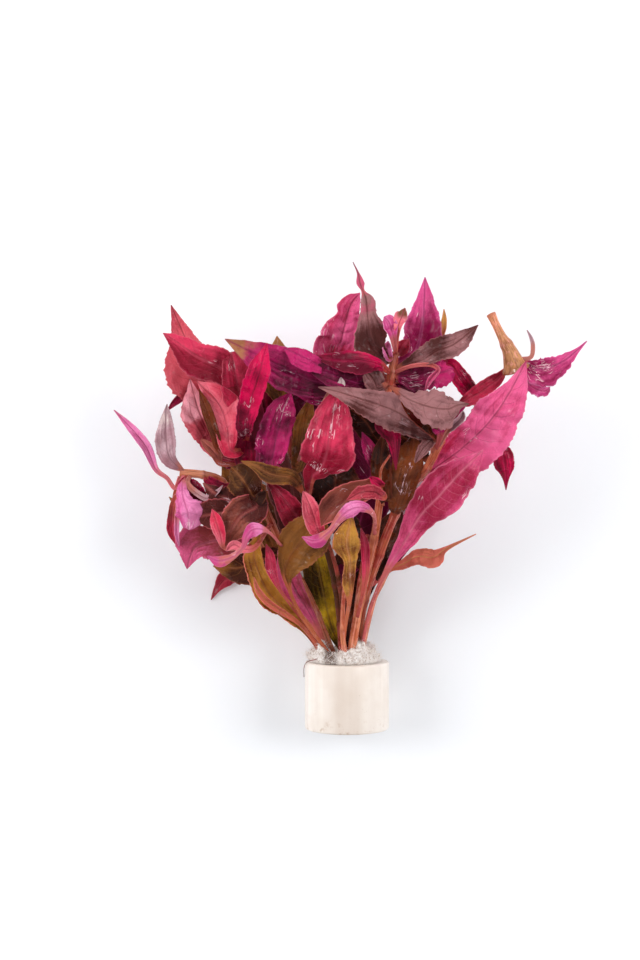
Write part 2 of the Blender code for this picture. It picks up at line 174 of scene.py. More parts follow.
room = bpy.data.worlds.new("room")
room.use_nodes = True
room.node_tree.nodes["Background"].inputs["Color"].default_value = (0.97, 0.98, 1, 1)
room.node_tree.nodes["Background"].inputs["Strength"].default_value = 0.285
bpy.context.scene.world = room
bpy.context.scene.view_settings.view_transform = "Standard"

# Lamps: name, place, width, height, power, and whether it is seen as a glint in wet skin. The large ones are
# soft boxes that light the bunch from both sides, and the small bare ones only glint.
for name, place, width, height, power, glints in [
        ("left_lamp", (-0.85, 0.20, 0.52), 0.5, 0.9, 8.15, False),
        ("right_lamp", (0.85, 0.20, 0.58), 0.5, 0.9, 8.15, False),
        ("far_lamp", (0.0, 0.95, 0.70), 0.9, 0.3, 3.5, False),
        ("near_lamp", (-0.1, -0.95, 0.80), 0.8, 0.3, 3.5, False),
        ("left_glint", (-0.42, 0.30, 0.80), 0.09, 0.17, 3.0, True),
        ("right_glint", (0.46, 0.10, 0.80), 0.09, 0.17, 3.0, True),
        ("far_glint", (0.05, 0.50, 0.90), 0.17, 0.08, 2.6, True)]:
    bpy.ops.object.light_add(type="AREA", location=place)
    lamp = bpy.context.object
    lamp.name = name
    lamp.data.shape = "RECTANGLE"
    lamp.data.size, lamp.data.size_y = width, height
    lamp.data.energy = power
    lamp.rotation_euler = (-Vector(place)).to_track_quat("-Z", "Y").to_euler()
    lamp.visible_glossy = glints
    lamp.visible_diffuse = not glints

# Ceramic ring
# A short thick-walled tube of cream bisque clay with a thin satin glaze, lying on its side. Its lips are
# rounded, and its wall has fine pits, faint streaks along its length and a few rust stains near the foot.
RING_RADIUS = 15.0
RING_WALL = 4.0
RING_LENGTH = 24.0
RING_SIDES = 144
LIP_ROUNDING = 0.8

clay = Finish("cream_clay")
streaks = clay.noise(1, 4, 0.6, clay.places((420, 24, 420)))
clouds = clay.noise(110, 3, 0.5)
grain = clay.noise(900, 4, 0.7)
pits = clay.node("TexVoronoi", clay.places(), Scale=620).outputs["Distance"]
some_pits = clay.spread(clay.noise(260, 2), 0.52, 0.62)
pits = clay.times(clay.spread(pits, 0.0, 0.16, 1, 0), some_pits)
across, along = clay.node("SeparateXYZ", clay.places()).outputs[:2]
from_axis = clay.maths("ABSOLUTE", clay.maths("SUBTRACT", across, ring_axis_x))
near_foot = clay.spread(along, ring_low.y, ring_low.y + 7 * MM, 1, 0)
rust = clay.times(clay.spread(clay.noise(330, 4, 0.7), 0.52, 0.7), near_foot)
clay.colour = clay.mix(clay.spread(streaks, 0.3, 0.75), paint(232, 221, 212), paint(239, 230, 221))
clay.coat(clay.spread(clouds, 0.42, 0.75, 0, 0.45), 218, 203, 190)
clay.coat(clay.times(pits, 0.55), 150, 122, 96)
# Painted shade: the clay is darker in a band down the top of the ring, along its axis, than on its sides.
clay.coat(clay.spread(from_axis, 3 * MM, 8 * MM, 0.5, 0), 202, 184, 170)
clay.coat(clay.times(rust, 0.6), 172, 134, 98)
clay.put(clay.inputs["Base Color"], clay.colour)
clay.put(clay.inputs["Roughness"], clay.spread(grain, 0.3, 0.7, 0.28, 0.5))
clay.inputs["Coat Weight"].default_value = 0.15
clay.inputs["Coat Roughness"].default_value = 0.2
clay.bump(clay.maths("SUBTRACT", clay.times(grain, 0.5), clay.times(pits, 1.2)), 0.35, 0.0003)

bpy.ops.mesh.primitive_cylinder_add(
    vertices=RING_SIDES, radius=RING_RADIUS * MM, depth=RING_LENGTH * MM, end_fill_type="NOTHING",
    location=(ring_axis_x, (ring_low.y + ring_high.y) / 2, ring_axis_z), rotation=(math.pi / 2, 0, 0))
ring = bpy.context.object
ring.name = "cream_ring"
bpy.ops.object.transform_apply(location=True, rotation=True, scale=True)
bpy.ops.object.mode_set(mode="EDIT")
bpy.ops.mesh.select_all(action="SELECT")
bpy.ops.mesh.subdivide(number_cuts=1)
bpy.ops.object.mode_set(mode="OBJECT")
wall = ring.modifiers.new("wall", "SOLIDIFY")
wall.thickness = RING_WALL * MM
wall.offset = -1
lip = ring.modifiers.new("lip", "BEVEL")
lip.width = LIP_ROUNDING * MM
lip.segments = 4
lip.limit_method = "ANGLE"
lip.angle_limit = math.radians(50)
for modifier in ("wall", "lip"):
    bpy.ops.object.modifier_apply(modifier=modifier)
bpy.ops.object.shade_smooth_by_angle(angle=math.radians(40))
ring.data.materials.append(clay.material)
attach(ring, "root")
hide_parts("ceramic_ring")

# Rock wool
# A plug of off-white mineral fibre, wetted and pressed into the ring round the stems' feet. It bulges out of
# the mouth as a crumbly collar. The lump is one closed skin, and loose fibres and wet crumbs stand out of it.
WOOL_ROWS = 90
WOOL_COLUMNS = 150
# The plug cut along its axis: how far out of the mouth, and how far from the axis
WOOL_PROFILE = [
    (-23.2, 9.0), (-22.6, 10.5), (-8, 10.7), (-0.3, 10.7), (0.0, 11.6), (0.02, 12.6), (0.5, 13.5),
    (1.6, 13.3), (3.0, 12.0), (3.8, 10.4), (3.0, 9.2), (0.0, 8.6), (-3, 8.2), (-6, 7.4)]
# Where the wool stands further out of the mouth: angle round the ring, how wide, and how far
WOOL_HEAPS = [(-1.1, 0.36, 5.6), (-0.5, 0.4, 1.6), (-2.65, 0.34, 4.8), (0.9, 0.7, 2.0), (2.6, 0.6, 1.5)]
# How far the wool stands back on the right, where it leaves the ring's lip bare
BARE_LIP = 2.2
# How far the middle of the stems' feet is to the left of the ring's axis, and how far the feet reach from it
FEET_ASIDE = 6.0
FEET_REACH = 2.4
FIBRES = 9000
FIBRE_STEPS = 4
FIBRE_LENGTHS = (0.5, 2.8)
FIBRE_RADII = (0.018, 0.04)
LOWEST_FIBRE = 0.06
CRUMBS = 2600
CRUMB_RADII = (0.06, 0.24)


def smooth(values, shares):
    """Values on the smooth curve through evenly spaced numbers or points, at shares from 0 to 1."""
    values = np.asarray(values, float)
    place = np.asarray(shares, float) * (len(values) - 1)
    k = np.clip(place.astype(int), 0, len(values) - 2)
    t = (place - k).reshape([-1] + [1] * (values.ndim - 1))
    ends = np.concatenate([[2 * values[0] - values[1]], values, [2 * values[-1] - values[-2]]])
    a, b, c, d = ends[k], ends[k + 1], ends[k + 2], ends[k + 3]
    return (2 * b + (c - a) * t + (2 * a - 5 * b + 4 * c - d) * t**2 + (3 * b - a - 3 * c + d) * t**3) / 2


def wrapped(name, places, across, **marks):
    """A closed skin from a flat grid. places is rows x columns of points in millimetres, and each row goes
    round the piece. across is each column's place on the map, and marks are values painted on the points."""
    rows, columns = places.shape[:2]
    bpy.ops.mesh.primitive_grid_add(x_subdivisions=columns, y_subdivisions=rows - 1, size=2)
    piece = bpy.context.object
    piece.name = name
    mesh = piece.data
    flat = np.empty(len(mesh.vertices) * 3)
    mesh.vertices.foreach_get("co", flat)
    flat = flat.reshape(-1, 3)
    column = np.rint((flat[:, 0] + 1) / 2 * columns).astype(int)
    row = np.rint((flat[:, 1] + 1) / 2 * (rows - 1)).astype(int)
    mesh.vertices.foreach_set("co", (places[row, column % columns] * MM).ravel())
    corners = np.empty(len(mesh.loops), int)
    mesh.loops.foreach_get("vertex_index", corners)
    on_map = np.stack([np.asarray(across)[column[corners]], row[corners] / (rows - 1)], axis=1)
    mesh.uv_layers.active.data.foreach_set("uv", on_map.ravel())
    for mark, values in marks.items():
        painted = mesh.attributes.new(mark, "FLOAT", "POINT")
        painted.data.foreach_set("value", values[row, column % columns].ravel())
    bpy.ops.object.mode_set(mode="EDIT")
    bpy.ops.mesh.select_all(action="SELECT")
    bpy.ops.mesh.remove_doubles(threshold=1e-8)
    bpy.ops.mesh.select_all(action="SELECT")
    bpy.ops.mesh.fill_holes(sides=0)
    bpy.ops.object.mode_set(mode="OBJECT")
    bpy.ops.object.shade_smooth()
    return piece


def bumps(places, size, seed):
    """Soft random swells over places in millimetres, about -1 to 1, for lumps of a size in millimetres."""
    dice = random.Random(seed)
    total = np.zeros(places.shape[:-1])
    for _ in range(7):
        way = np.array([dice.gauss(0, 1) for _ in range(3)])
        way *= dice.uniform(0.7, 1.5) * math.tau / size / np.linalg.norm(way)
        total += np.sin(places @ way + dice.uniform(0, math.tau))
    return total / 3


feet_x = ring_axis_x / MM - FEET_ASIDE
wool = Finish("rock_wool")
fluff = wool.noise(1300, 5, 0.75)
damp = wool.noise(190, 3, 0.5)
across, along = wool.node("SeparateXYZ", wool.places()).outputs[:2]
in_the_mouth = wool.spread(along, ring_high.y - 3 * MM, ring_high.y + 0.5 * MM, 0.8, 0)
from_feet = wool.maths("ABSOLUTE", wool.maths("SUBTRACT", across, feet_x * MM))
# The fluff noise mixes the fibre's own grey and white with painted shade in the crevices between its tufts
# and painted highlight on their tops.
wool.colour = wool.mix(wool.spread(fluff, 0.36, 0.56), paint(182, 156, 138), paint(255, 250, 246))
wool.coat(wool.spread(damp, 0.5, 0.75, 0, 0.5), 206, 184, 158)
# Painted shade: the wool inside the ring's mouth is dark brown.
wool.coat(in_the_mouth, 92, 66, 48)
wool.coat(wool.spread(from_feet, 1.0 * MM, 3.5 * MM, 0.8, 0), 92, 60, 40)
wool.put(wool.inputs["Base Color"], wool.colour)
wool.inputs["Roughness"].default_value = 0.7
wool.bump(fluff, 0.8, 0.0008)

mouth = np.array([ring_axis_x / MM, ring_high.y / MM, ring_axis_z / MM])
turns = np.linspace(0, math.tau, WOOL_COLUMNS + 1)[:-1] - math.pi / 2
profile = smooth(WOOL_PROFILE, np.linspace(0, 1, WOOL_ROWS))
out, radius = profile[:, :1], profile[:, 1:]
from_right = (turns + math.pi) % math.tau - math.pi
radius = radius - BARE_LIP * np.exp(-((from_right / 1.1) ** 2)) * (out > 0)
places = np.stack([radius * np.cos(turns), out + 0 * turns, -radius * np.sin(turns)], axis=2)
loose = np.clip((out + 0.1) / 1.2, 0, 1) * np.ones_like(turns)
lift = bumps(places, 9, "lump") * 0.7 + bumps(places, 2.6, "tuft") * 0.5 + bumps(places, 1.0, "crumb") * 0.25
swell = lift * loose
heap = 0
for centre, width, rise in WOOL_HEAPS:
    apart = (turns - centre + math.pi) % math.tau - math.pi
    heap = heap + rise * np.exp(-((apart / width) ** 2))
heap = heap * np.clip(out / 4.6, 0, 1) ** 1.5
places += np.stack([swell * np.cos(turns), swell + heap, -swell * np.sin(turns)], axis=2)
places[..., 0] -= 0.22 * heap * np.cos(turns)
places = places + mouth
lump = wrapped("wool_plug", places, np.linspace(0, 1, WOOL_COLUMNS + 1))
lump.data.materials.append(wool.material)
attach(lump, "root")
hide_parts("rock_wool")


def joined(name, points, faces):
    """One wet piece of wool out of many small copies. points is copies x corners x 3, in millimetres."""
    copies, corners = points.shape[:2]
    mesh = bpy.data.meshes.new(name)
    copied = [tuple(i + corners * copy for i in face) for copy in range(copies) for face in faces]
    mesh.from_pydata((points.reshape(-1, 3) * MM).tolist(), [], copied)
    mesh.shade_smooth()
    piece = bpy.data.objects.new(name, mesh)
    bpy.context.scene.collection.objects.link(piece)
    piece.data.materials.append(wet.material)
    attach(piece, "root")


wet = Finish("wet_fibre")
wet.put(wet.inputs["Base Color"], wet.mix(wet.noise(500), paint(240, 228, 220), paint(255, 253, 251)))
wet.inputs["Roughness"].default_value = 0.25

# A fibre is a bent three-sided thread that thins out, and few of them stand among the stems' feet.
dice = random.Random("fibres")
outer_rows = [i for i in range(WOOL_ROWS) if 0.2 < profile[i, 0]]
fibre_points = []
for _ in range(FIBRES):
    i, j = dice.choice(outer_rows), dice.randrange(WOOL_COLUMNS)
    start = places[i, j]
    if abs(start[0] - feet_x) < FEET_REACH and dice.random() < 0.8:
        continue
    away = np.array([math.cos(turns[j]), 0.5, -math.sin(turns[j])])
    way = np.array([dice.gauss(0, 1) for _ in range(3)]) + away * 0.35
    way /= np.linalg.norm(way)
    bend = np.array([dice.gauss(0, 0.5) for _ in range(3)])
    length, thick = dice.uniform(*FIBRE_LENGTHS), dice.uniform(*FIBRE_RADII)
    side = np.cross(way, (0.3, 0.5, 0.8))
    side /= np.linalg.norm(side)
    over = np.cross(side, way)
    for step in range(FIBRE_STEPS):
        t = step / (FIBRE_STEPS - 1)
        centre = start + way * (t - 0.2) * length + bend * t * t * length * 0.5
        centre[2] = max(centre[2], LOWEST_FIBRE)
        for corner in range(3):
            turn = math.tau * corner / 3
            outward = side * math.cos(turn) + over * math.sin(turn)
            fibre_points.append(centre + outward * thick * (1 - 0.6 * t))
fibre_faces = [(0, 1, 2), tuple(3 * (FIBRE_STEPS - 1) + k for k in (2, 1, 0))]
for step in range(FIBRE_STEPS - 1):
    for corner in range(3):
        low, after = 3 * step + corner, 3 * step + (corner + 1) % 3
        fibre_faces.append((low, low + 3, after + 3, after))
joined("wool_fibres", np.array(fibre_points).reshape(-1, 3 * FIBRE_STEPS, 3), fibre_faces)

bpy.ops.mesh.primitive_ico_sphere_add(subdivisions=1, radius=1)
seed_crumb = bpy.context.object
crumb_corners = np.array([v.co[:] for v in seed_crumb.data.vertices])
crumb_faces = [tuple(face.vertices) for face in seed_crumb.data.polygons]
bpy.data.objects.remove(seed_crumb)
crumb_points = []
for _ in range(CRUMBS):
    i, j = dice.choice(outer_rows), dice.randrange(WOOL_COLUMNS)
    stretch = np.array([dice.uniform(*CRUMB_RADII) for _ in range(3)])
    crumb_points.append(places[i, j] + crumb_corners * stretch)
joined("wool_crumbs", np.array(crumb_points), crumb_faces)

# Stems
# Five fleshy stems stand in the wool, and a sixth is a loose cutting held in the foliage. Each is a little
# thicker at its joints, where leaves grew, and goes from peach at its foot to brick red. Its skin has fine
# dark streaks and pale streaks of painted highlight, and it is wet.
STEM_COLUMNS = 20
ROWS_FOR_A_MILLIMETRE = 1.6
JOINT_SWELL = 0.16
JOINT_LENGTH = 1.3
# The points of each stem, which the leaves start from
STEMS = {}


def beside(line):
    """The directions to the right of a line of points and up from it."""
    along = np.gradient(line, axis=0)
    along /= np.linalg.norm(along, axis=1, keepdims=True)
    right = np.cross(along, (0, 0, 1))
    right /= np.linalg.norm(right, axis=1, keepdims=True)
    return right, np.cross(right, along)


def stem(name, warmth, points, joints=6, node=None):
    """A round stem through points of (column, row, height, radius). warmth goes from peach to dark red."""
    STEMS[name.replace("_shoot", "")] = points
    middle = seen_at([point[:3] for point in points])
    length = np.linalg.norm(np.diff(middle, axis=0), axis=1).sum()
    shares = np.linspace(0, 1, max(8, int(length * ROWS_FOR_A_MILLIMETRE)))
    line = smooth(middle, shares)
    right, up = beside(line)
    thick = smooth([point[3] for point in points], shares)[:, None]
    turns = np.linspace(0, math.tau, STEM_COLUMNS + 1)[:-1]
    from_joint = np.abs((shares * joints + 0.5) % 1 - 0.5)[:, None] * length / joints
    swell = JOINT_SWELL * np.exp(-((from_joint / JOINT_LENGTH) ** 2))
    thick = thick * (1 + swell + 0.03 * np.sin(3 * turns + 9 * shares[:, None]))
    outward = right[:, None] * np.cos(turns)[:, None] - up[:, None] * np.sin(turns)[:, None]
    places = line[:, None] + outward * thick[..., None]
    warm = np.interp(shares, np.linspace(0, 1, len(warmth)), warmth)[:, None] + 0 * turns
    ringed = np.exp(-((from_joint / 0.9) ** 2)) + 0 * turns
    piece = wrapped(name, places, np.linspace(0, 1, STEM_COLUMNS + 1), warmth=warm, joint=ringed)
    piece.data.materials.append(peel.material)
    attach(piece, "root")
    if node:
        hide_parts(node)


peel = Finish("stem_skin")
streaks = peel.noise(1, 4, 0.6, peel.unrolled((34, 6, 1)))
highlight_streaks = peel.noise(1, 3, 0.5, peel.unrolled((17, 9, 1)))
patches = peel.noise(240, 3, 0.55)
warm = peel.plus(peel.mark("warmth"), peel.spread(patches, 0.3, 0.7, -0.25, 0.25))
# Painted highlight: pale pink streaks along the stem, fading out where it is dark red.
pale = peel.times(peel.spread(highlight_streaks, 0.52, 0.66, 0, 0.5), peel.spread(warm, 0.9, 1.3, 1, 0))
peel.colour = peel.mix(peel.spread(warm, -0.7, 0), paint(196, 138, 92), paint(228, 146, 108))
peel.coat(peel.spread(warm, 0, 0.55), 198, 102, 68)
peel.coat(peel.spread(warm, 0.5, 1.0), 188, 78, 70)
peel.coat(peel.spread(warm, 1.2, 1.9), 66, 38, 16)
peel.coat(peel.spread(streaks, 0.42, 0.66, 0, 0.65), 116, 48, 28)
peel.coat(peel.times(peel.mark("joint"), 0.45), 128, 46, 40)
peel.coat(pale, 242, 168, 156)
peel.put(peel.inputs["Base Color"], peel.colour)
peel.put(peel.inputs["Roughness"], peel.spread(patches, 0.45, 0.6, 0.6, 0.18))
peel.inputs["Specular IOR Level"].default_value = 0.3
peel.inputs["Subsurface Weight"].default_value = 0.12
peel.inputs["Subsurface Radius"].default_value = (1.0, 0.35, 0.2)
peel.inputs["Subsurface Scale"].default_value = 0.001
peel.bump(streaks, 0.25, 0.0003)

stem("right_shoot", (0.2, 0.7, 0.8, 0.5, 0.6), [
    (352, 674, 15, 1.7), (364, 600, 24, 1.6), (379, 555, 31, 1.6), (395, 515, 37, 1.5), (412, 485, 42, 1.5),
    (427, 468, 46, 1.4), (441, 440, 53, 1.4)], node="right_stem")
stem("centre_shoot", (0.25, 0.85), [
    (348, 674, 21, 1.6), (360, 600, 28, 1.5), (374, 540, 35, 1.4), (383, 470, 41, 1.3), (387, 400, 47, 1.3),
    (392, 371, 50, 1.5), (396, 352, 51, 1.1)], node="centre_stem")
stem("left_centre_shoot", (1.0, 2.2, 2.2, 1.0), [
    (343, 674, 17.5, 1.5), (341, 625, 20, 1.5), (336, 585, 25, 1.4), (326, 545, 30, 1.4), (306, 500, 35, 1.3),
    (292, 455, 39, 1.3), (283, 410, 41, 1.2)], node="left_centre_stem")
stem("left_shoot", (0.25, 0.85), [
    (340, 674, 13.8, 1.4), (312, 604, 17, 1.4), (283, 548, 22, 1.3), (262, 500, 28, 1.3), (250, 462, 34, 1.2),
    (244, 430, 39, 1.1)], node="left_stem")
stem("side_shoot", (0.5, 0.0), [
    (343, 671, 9.6, 1.4), (308, 618, 8, 1.4), (268, 560, 12, 1.4), (241, 510, 20, 1.4), (222, 482, 27, 1.4),
    (203, 475, 30, 1.4), (180, 473, 30, 1.5)], node="side_stem")
stem("loose_shoot", (-0.1, -0.8), [
    (491, 314, 44, 1.4), (501, 335, 45, 1.5), (510, 352, 45, 2.6), (516, 369, 43, 4.2)],
    joints=2, node="loose_cutting")

# Thin shoots
# Bare leaf stalks and young shoots, thinner than the stems. They stand in the wool among the stems, or fork
# off between the cupped leaves. A root as thin as a thread hangs out of the wool over the ring's lip.
stem("brown_shoot", (1.0, 1.8, 1.5), [
    (345, 664, 18, 0.9), (343, 640, 20, 0.9), (342, 605, 25, 0.8), (337, 572, 30, 0.8), (329, 545, 33, 0.6)],
    joints=3)
stem("pink_shoot", (0.3, 0.9), [
    (348, 664, 24, 0.9), (343, 640, 26, 0.9), (343, 610, 30, 0.8), (345, 585, 34, 0.7), (348, 565, 38, 0.5)],
    joints=3)
stem("red_shoot", (0.5, 1.1), [
    (355, 664, 15, 1.0), (354, 640, 18, 1.0), (357, 605, 23, 0.9), (362, 570, 28, 0.9), (368, 535, 33, 0.7)],
    joints=3)
stem("peach_shoot", (0.1, 0.5), [
    (363, 664, 18, 0.9), (364, 640, 21, 0.9), (372, 605, 26, 0.9), (386, 575, 31, 0.8), (396, 558, 35, 0.5)],
    joints=3)
stem("root_thread", (1.7, 1.7), [
    (304, 677, 15.5, 0.1), (304, 668, 17, 0.1), (307, 662, 20, 0.12), (317, 659, 24, 0.12)], joints=3)
stem("forked_twig", (0.3, 0.7), [
    (383, 505, 41, 0.5), (381, 488, 47, 0.5), (381, 470, 50, 0.45), (390, 455, 52, 0.35)], joints=3)

# Leaves
# Thin lance-shaped blades on short stalks. Each has a rib with side veins that curve towards the tip, a skin
# that swells a little between them, and a wavy margin. Upper sides are dark, undersides are paler and pink.
ACROSS = 28
VEINS_APART = 4.6
HALF_BLADE = 0.13
STALK_ROUNDING = 0.42
RIB_DEPTH = 0.32
STALK_REACH = 0.65
TIP_REACH = 0.12
LOWEST_MIDDLE = 0.2
LOWEST_UNDERSIDE = 0.02
STALK_RED = (198, 96, 66)
# The white of the glints painted into the leaves' colour: painted highlight.
PAINTED_GLINT_WHITE = (255, 214, 224)
WET_ROUGHNESS = 0.13
# Light, dark, veins, underside, what it ages to (near-black painted shade for olive), how rough it is where
# dry, and how strong its painted glints are
LEAF_SKINS = {
    "rose": ((232, 94, 146), (172, 20, 62), (134, 18, 60), (226, 120, 150), (120, 70, 60), 0.8, 0.6),
    "rosy": ((224, 84, 134), (156, 26, 62), (222, 118, 144), (232, 130, 156), (170, 70, 70), 0.8, 0.6),
    "fuchsia": ((220, 78, 140), (134, 8, 64), (136, 20, 78), (232, 132, 184), (206, 150, 158), 0.75, 0.9),
    "brick": ((206, 82, 96), (148, 36, 54), (120, 32, 48), (206, 100, 106), (232, 146, 160), 0.85, 0.4),
    "salmon": ((240, 120, 138), (208, 40, 74), (166, 50, 70), (226, 126, 134), (122, 78, 52), 0.8, 0.5),
    "ruby": ((216, 54, 90), (128, 2, 34), (176, 56, 82), (212, 96, 114), (126, 70, 50), 0.75, 0.9),
    "crimson": ((214, 4, 78), (92, 0, 30), (150, 14, 58), (188, 50, 88), (96, 40, 36), 0.75, 0.9),
    "wine": ((194, 36, 104), (78, 0, 34), (150, 44, 92), (150, 46, 90), (170, 112, 74), 0.75, 0.7),
    "umber": ((160, 108, 110), (76, 32, 30), (88, 44, 42), (168, 104, 104), (208, 84, 118), 0.85, 0.2),
    "cupped": ((156, 82, 68), (74, 24, 22), (150, 84, 70), (224, 104, 112), (190, 90, 96), 0.8, 0.6),
    "ash": ((218, 182, 190), (164, 116, 126), (134, 92, 100), (196, 156, 164), (228, 212, 206), 0.85, 0.4),
    "mauve": ((218, 88, 134), (128, 46, 48), (140, 60, 84), (218, 120, 140), (120, 84, 46), 0.75, 0.5),
    "orchid": ((240, 138, 190), (196, 62, 124), (180, 60, 114), (234, 150, 186), (200, 106, 98), 0.8, 0.9),
    # Olive ages to near-black brown, which is painted shade on the dome and the lower brown leaf.
    "olive": ((154, 98, 44), (66, 32, 12), (150, 96, 52), (176, 100, 70), (60, 22, 14), 0.8, 0.2),
    # The green skin's light colour is brighter than the leaf's own yellow-olive: painted light, so that it
    # stays bright in the shade of the leaves above it.
    "green": ((226, 186, 40), (58, 38, 8), (178, 140, 66), (150, 110, 50), (130, 80, 50), 0.75, 0.4),
    "tan": ((206, 146, 62), (112, 52, 20), (200, 148, 92), (220, 118, 100), (206, 104, 88), 0.8, 0.3),
    "wet_bark": ((124, 60, 24), (44, 12, 6), (120, 66, 40), (126, 50, 40), (124, 30, 40), 0.7, 1.0),
    "bark": ((112, 48, 20), (36, 8, 4), (120, 66, 40), (126, 50, 40), (124, 30, 40), 0.75, 0.2),
}


def leaf_skin(name, light, dark, vein, under, aged_and_shade_colour, dry, painted_glint_strength):
    """Skin of a leaf. The UV map goes 0 to 1 across the upper side and 1 to 2 back across the underside."""
    skin = Finish("leaf_" + name)
    way_round = skin.node("SeparateXYZ", skin.node("UVMap").outputs[0]).outputs[0]
    beneath = skin.maths("GREATER_THAN", way_round, 1.0)
    across = skin.maths("PINGPONG", way_round, 1.0)
    edge = skin.maths("ABSOLUTE", skin.maths("MULTIPLY_ADD", across, 2.0, -1.0))
    clouds = skin.noise(150, 3, 0.55)
    fine = skin.noise(1400, 3, 0.6)
    crease_relief_and_shade = skin.noise(1, 3, 0.55, skin.unrolled((9, 2.4, 1)))
    cells = skin.node("TexVoronoi", skin.places(), Scale=1050, settings={"feature": "DISTANCE_TO_EDGE"})
    net = skin.spread(cells.outputs["Distance"], 0.0, 0.09, 1, 0)
    gap = skin.maths("PINGPONG", skin.mark("rung"), 0.5)
    side_vein = skin.times(skin.spread(gap, 0.0, 0.07, 1, 0), skin.spread(edge, 0.3, 1.0, 1, 0.1))
    rib = skin.spread(skin.mark("reach"), 0.14, 0.36, 1, 0)
    lines = skin.maths("MAXIMUM", rib, skin.times(side_vein, 0.6))

    # The tone: each leaf's own colour with painted shade where it lies under others, varied at random by
    # clouds and fine grain, and by painted shade and light in the crinkles across the leaf, which also raise
    # its bumps.
    tone = skin.mark("shade")
    for pattern, change in ((clouds, 0.18), (crease_relief_and_shade, 0.2), (fine, 0.07)):
        tone = skin.plus(tone, skin.spread(pattern, 0.3, 0.7, -change, change))
    above = skin.mix(skin.spread(tone, 0.0, 1.0), paint(*dark), paint(*light))
    below = skin.mix(skin.spread(clouds, 0.35, 0.7, 0, 0.35), paint(*under), paint(*light))
    skin.colour = skin.mix(beneath, above, below)
    # The colour the skin ages to, which on the olive skin is near-black painted shade.
    age = skin.plus(skin.mark("age"), skin.spread(clouds, 0.3, 0.7, -0.3, 0.3))
    skin.coat(skin.spread(age, 0.3, 0.8), *aged_and_shade_colour)
    skin.coat(skin.times(net, 0.1), *vein)
    skin.coat(skin.spread(skin.mark("reach"), 0.3, 0.9, 0.2, 0), *under)
    skin.coat(skin.times(lines, 0.5), *vein)
    skin.coat(skin.spread(edge, 0.9, 1.0, 0, 0.45), *under)
    stalk = [0.7 * bare + 0.3 * pale for bare, pale in zip(STALK_RED, under)]
    skin.coat(skin.spread(skin.mark("stalk"), 0.1, 0.7, 0, 0.8), *stalk)

    # Painted highlights: white glints painted into the colour along the rib and the veins, in streaks
    # and in dots, where the leaf's wet mark raises them.
    patches = skin.noise(150, 2, 0.5)
    on_rib = skin.spread(skin.mark("reach"), 0.12, 0.3, 0.8, 0)
    ridge_glints = skin.maths("MAXIMUM", on_rib, skin.spread(gap, 0.0, 0.05, 1, 0))
    ridge_glints = skin.times(ridge_glints, skin.spread(skin.noise(330, 3, 0.6), 0.48, 0.58))
    streaks = skin.spread(skin.noise(1, 3, 0.6, skin.unrolled((30, 5, 1))), 0.57, 0.62, 0, 0.9)
    grain = skin.node("TexVoronoi", skin.places(), Scale=900).outputs["Distance"]
    glint_dots = skin.times(skin.spread(grain, 0.1, 0.22, 1, 0), skin.spread(patches, 0.5, 0.56))
    painted_glint = skin.maths("MAXIMUM", skin.maths("MAXIMUM", ridge_glints, streaks), glint_dots)
    painted_glint_zone = skin.maths("MULTIPLY_ADD", skin.mark("wet"), 0.13, skin.noise(105, 2, 0.5))
    skin.coat(skin.times(painted_glint, skin.spread(painted_glint_zone, 0.63, 0.67, 0, painted_glint_strength)), *PAINTED_GLINT_WHITE)
    skin.put(skin.inputs["Base Color"], skin.colour)

    wetness = skin.spread(patches, 0.5, 0.53)
    skin.put(skin.inputs["Roughness"], skin.maths("MULTIPLY_ADD", wetness, WET_ROUGHNESS - dry, dry))
    skin.inputs["Specular IOR Level"].default_value = 0.22
    height = skin.maths("MULTIPLY_ADD", lines, -0.6, skin.times(net, -0.2))
    wrinkles = skin.times(skin.noise(300, 2, 0.5), skin.spread(wetness, 0, 1, 0.6, 1.6))
    for swell in (skin.times(fine, 0.2), skin.times(crease_relief_and_shade, 2.6), wrinkles):
        height = skin.plus(height, swell)
    skin.bump(height, 0.6, 0.0004)
    return skin.material


leaf_materials = {name: leaf_skin(name, *look) for name, look in LEAF_SKINS.items()}


def base_on_stem(stem_name, share, first):
    """Where a leaf leaves its stem: the point of the stem's side that faces the leaf's next point."""
    points = STEMS[stem_name]
    line = seen_at([point[:3] for point in points])
    axis = smooth(line, [share])[0]
    along = smooth(line, [min(1, share + 0.01)])[0] - smooth(line, [share - 0.01])[0]
    along /= np.linalg.norm(along)
    aim = seen_at(first[:3])[0] - axis
    aside = aim - along * (aim @ along)
    aside /= np.linalg.norm(aside)
    base = axis + aside * smooth([point[3] for point in points], [share])[0] * 0.8
    seen = (base - eye_place) / ((EYE_HEIGHT - base[2]) / FOCAL_PIXELS)
    return PICTURE_MIDDLE[0] + seen[0], PICTURE_MIDDLE[1] - seen[1], base[2]


def half_section(s, fold, curl, rolled):
    """Half a leaf, cut across: how far out and up it is at shares s of its width, and its slope there."""
    steps = 60
    fine = np.linspace(0, 1, steps + 1)

    def slope(share):
        return np.radians(fold + curl * share + rolled * share**6)

    angles = slope((fine[1:] + fine[:-1]) / 2)
    out = np.concatenate([[0], np.cumsum(np.cos(angles))]) / steps
    rise = np.concatenate([[0], np.cumsum(np.sin(angles))]) / steps
    return np.interp(s, fine, out), np.interp(s, fine, rise), slope(s)


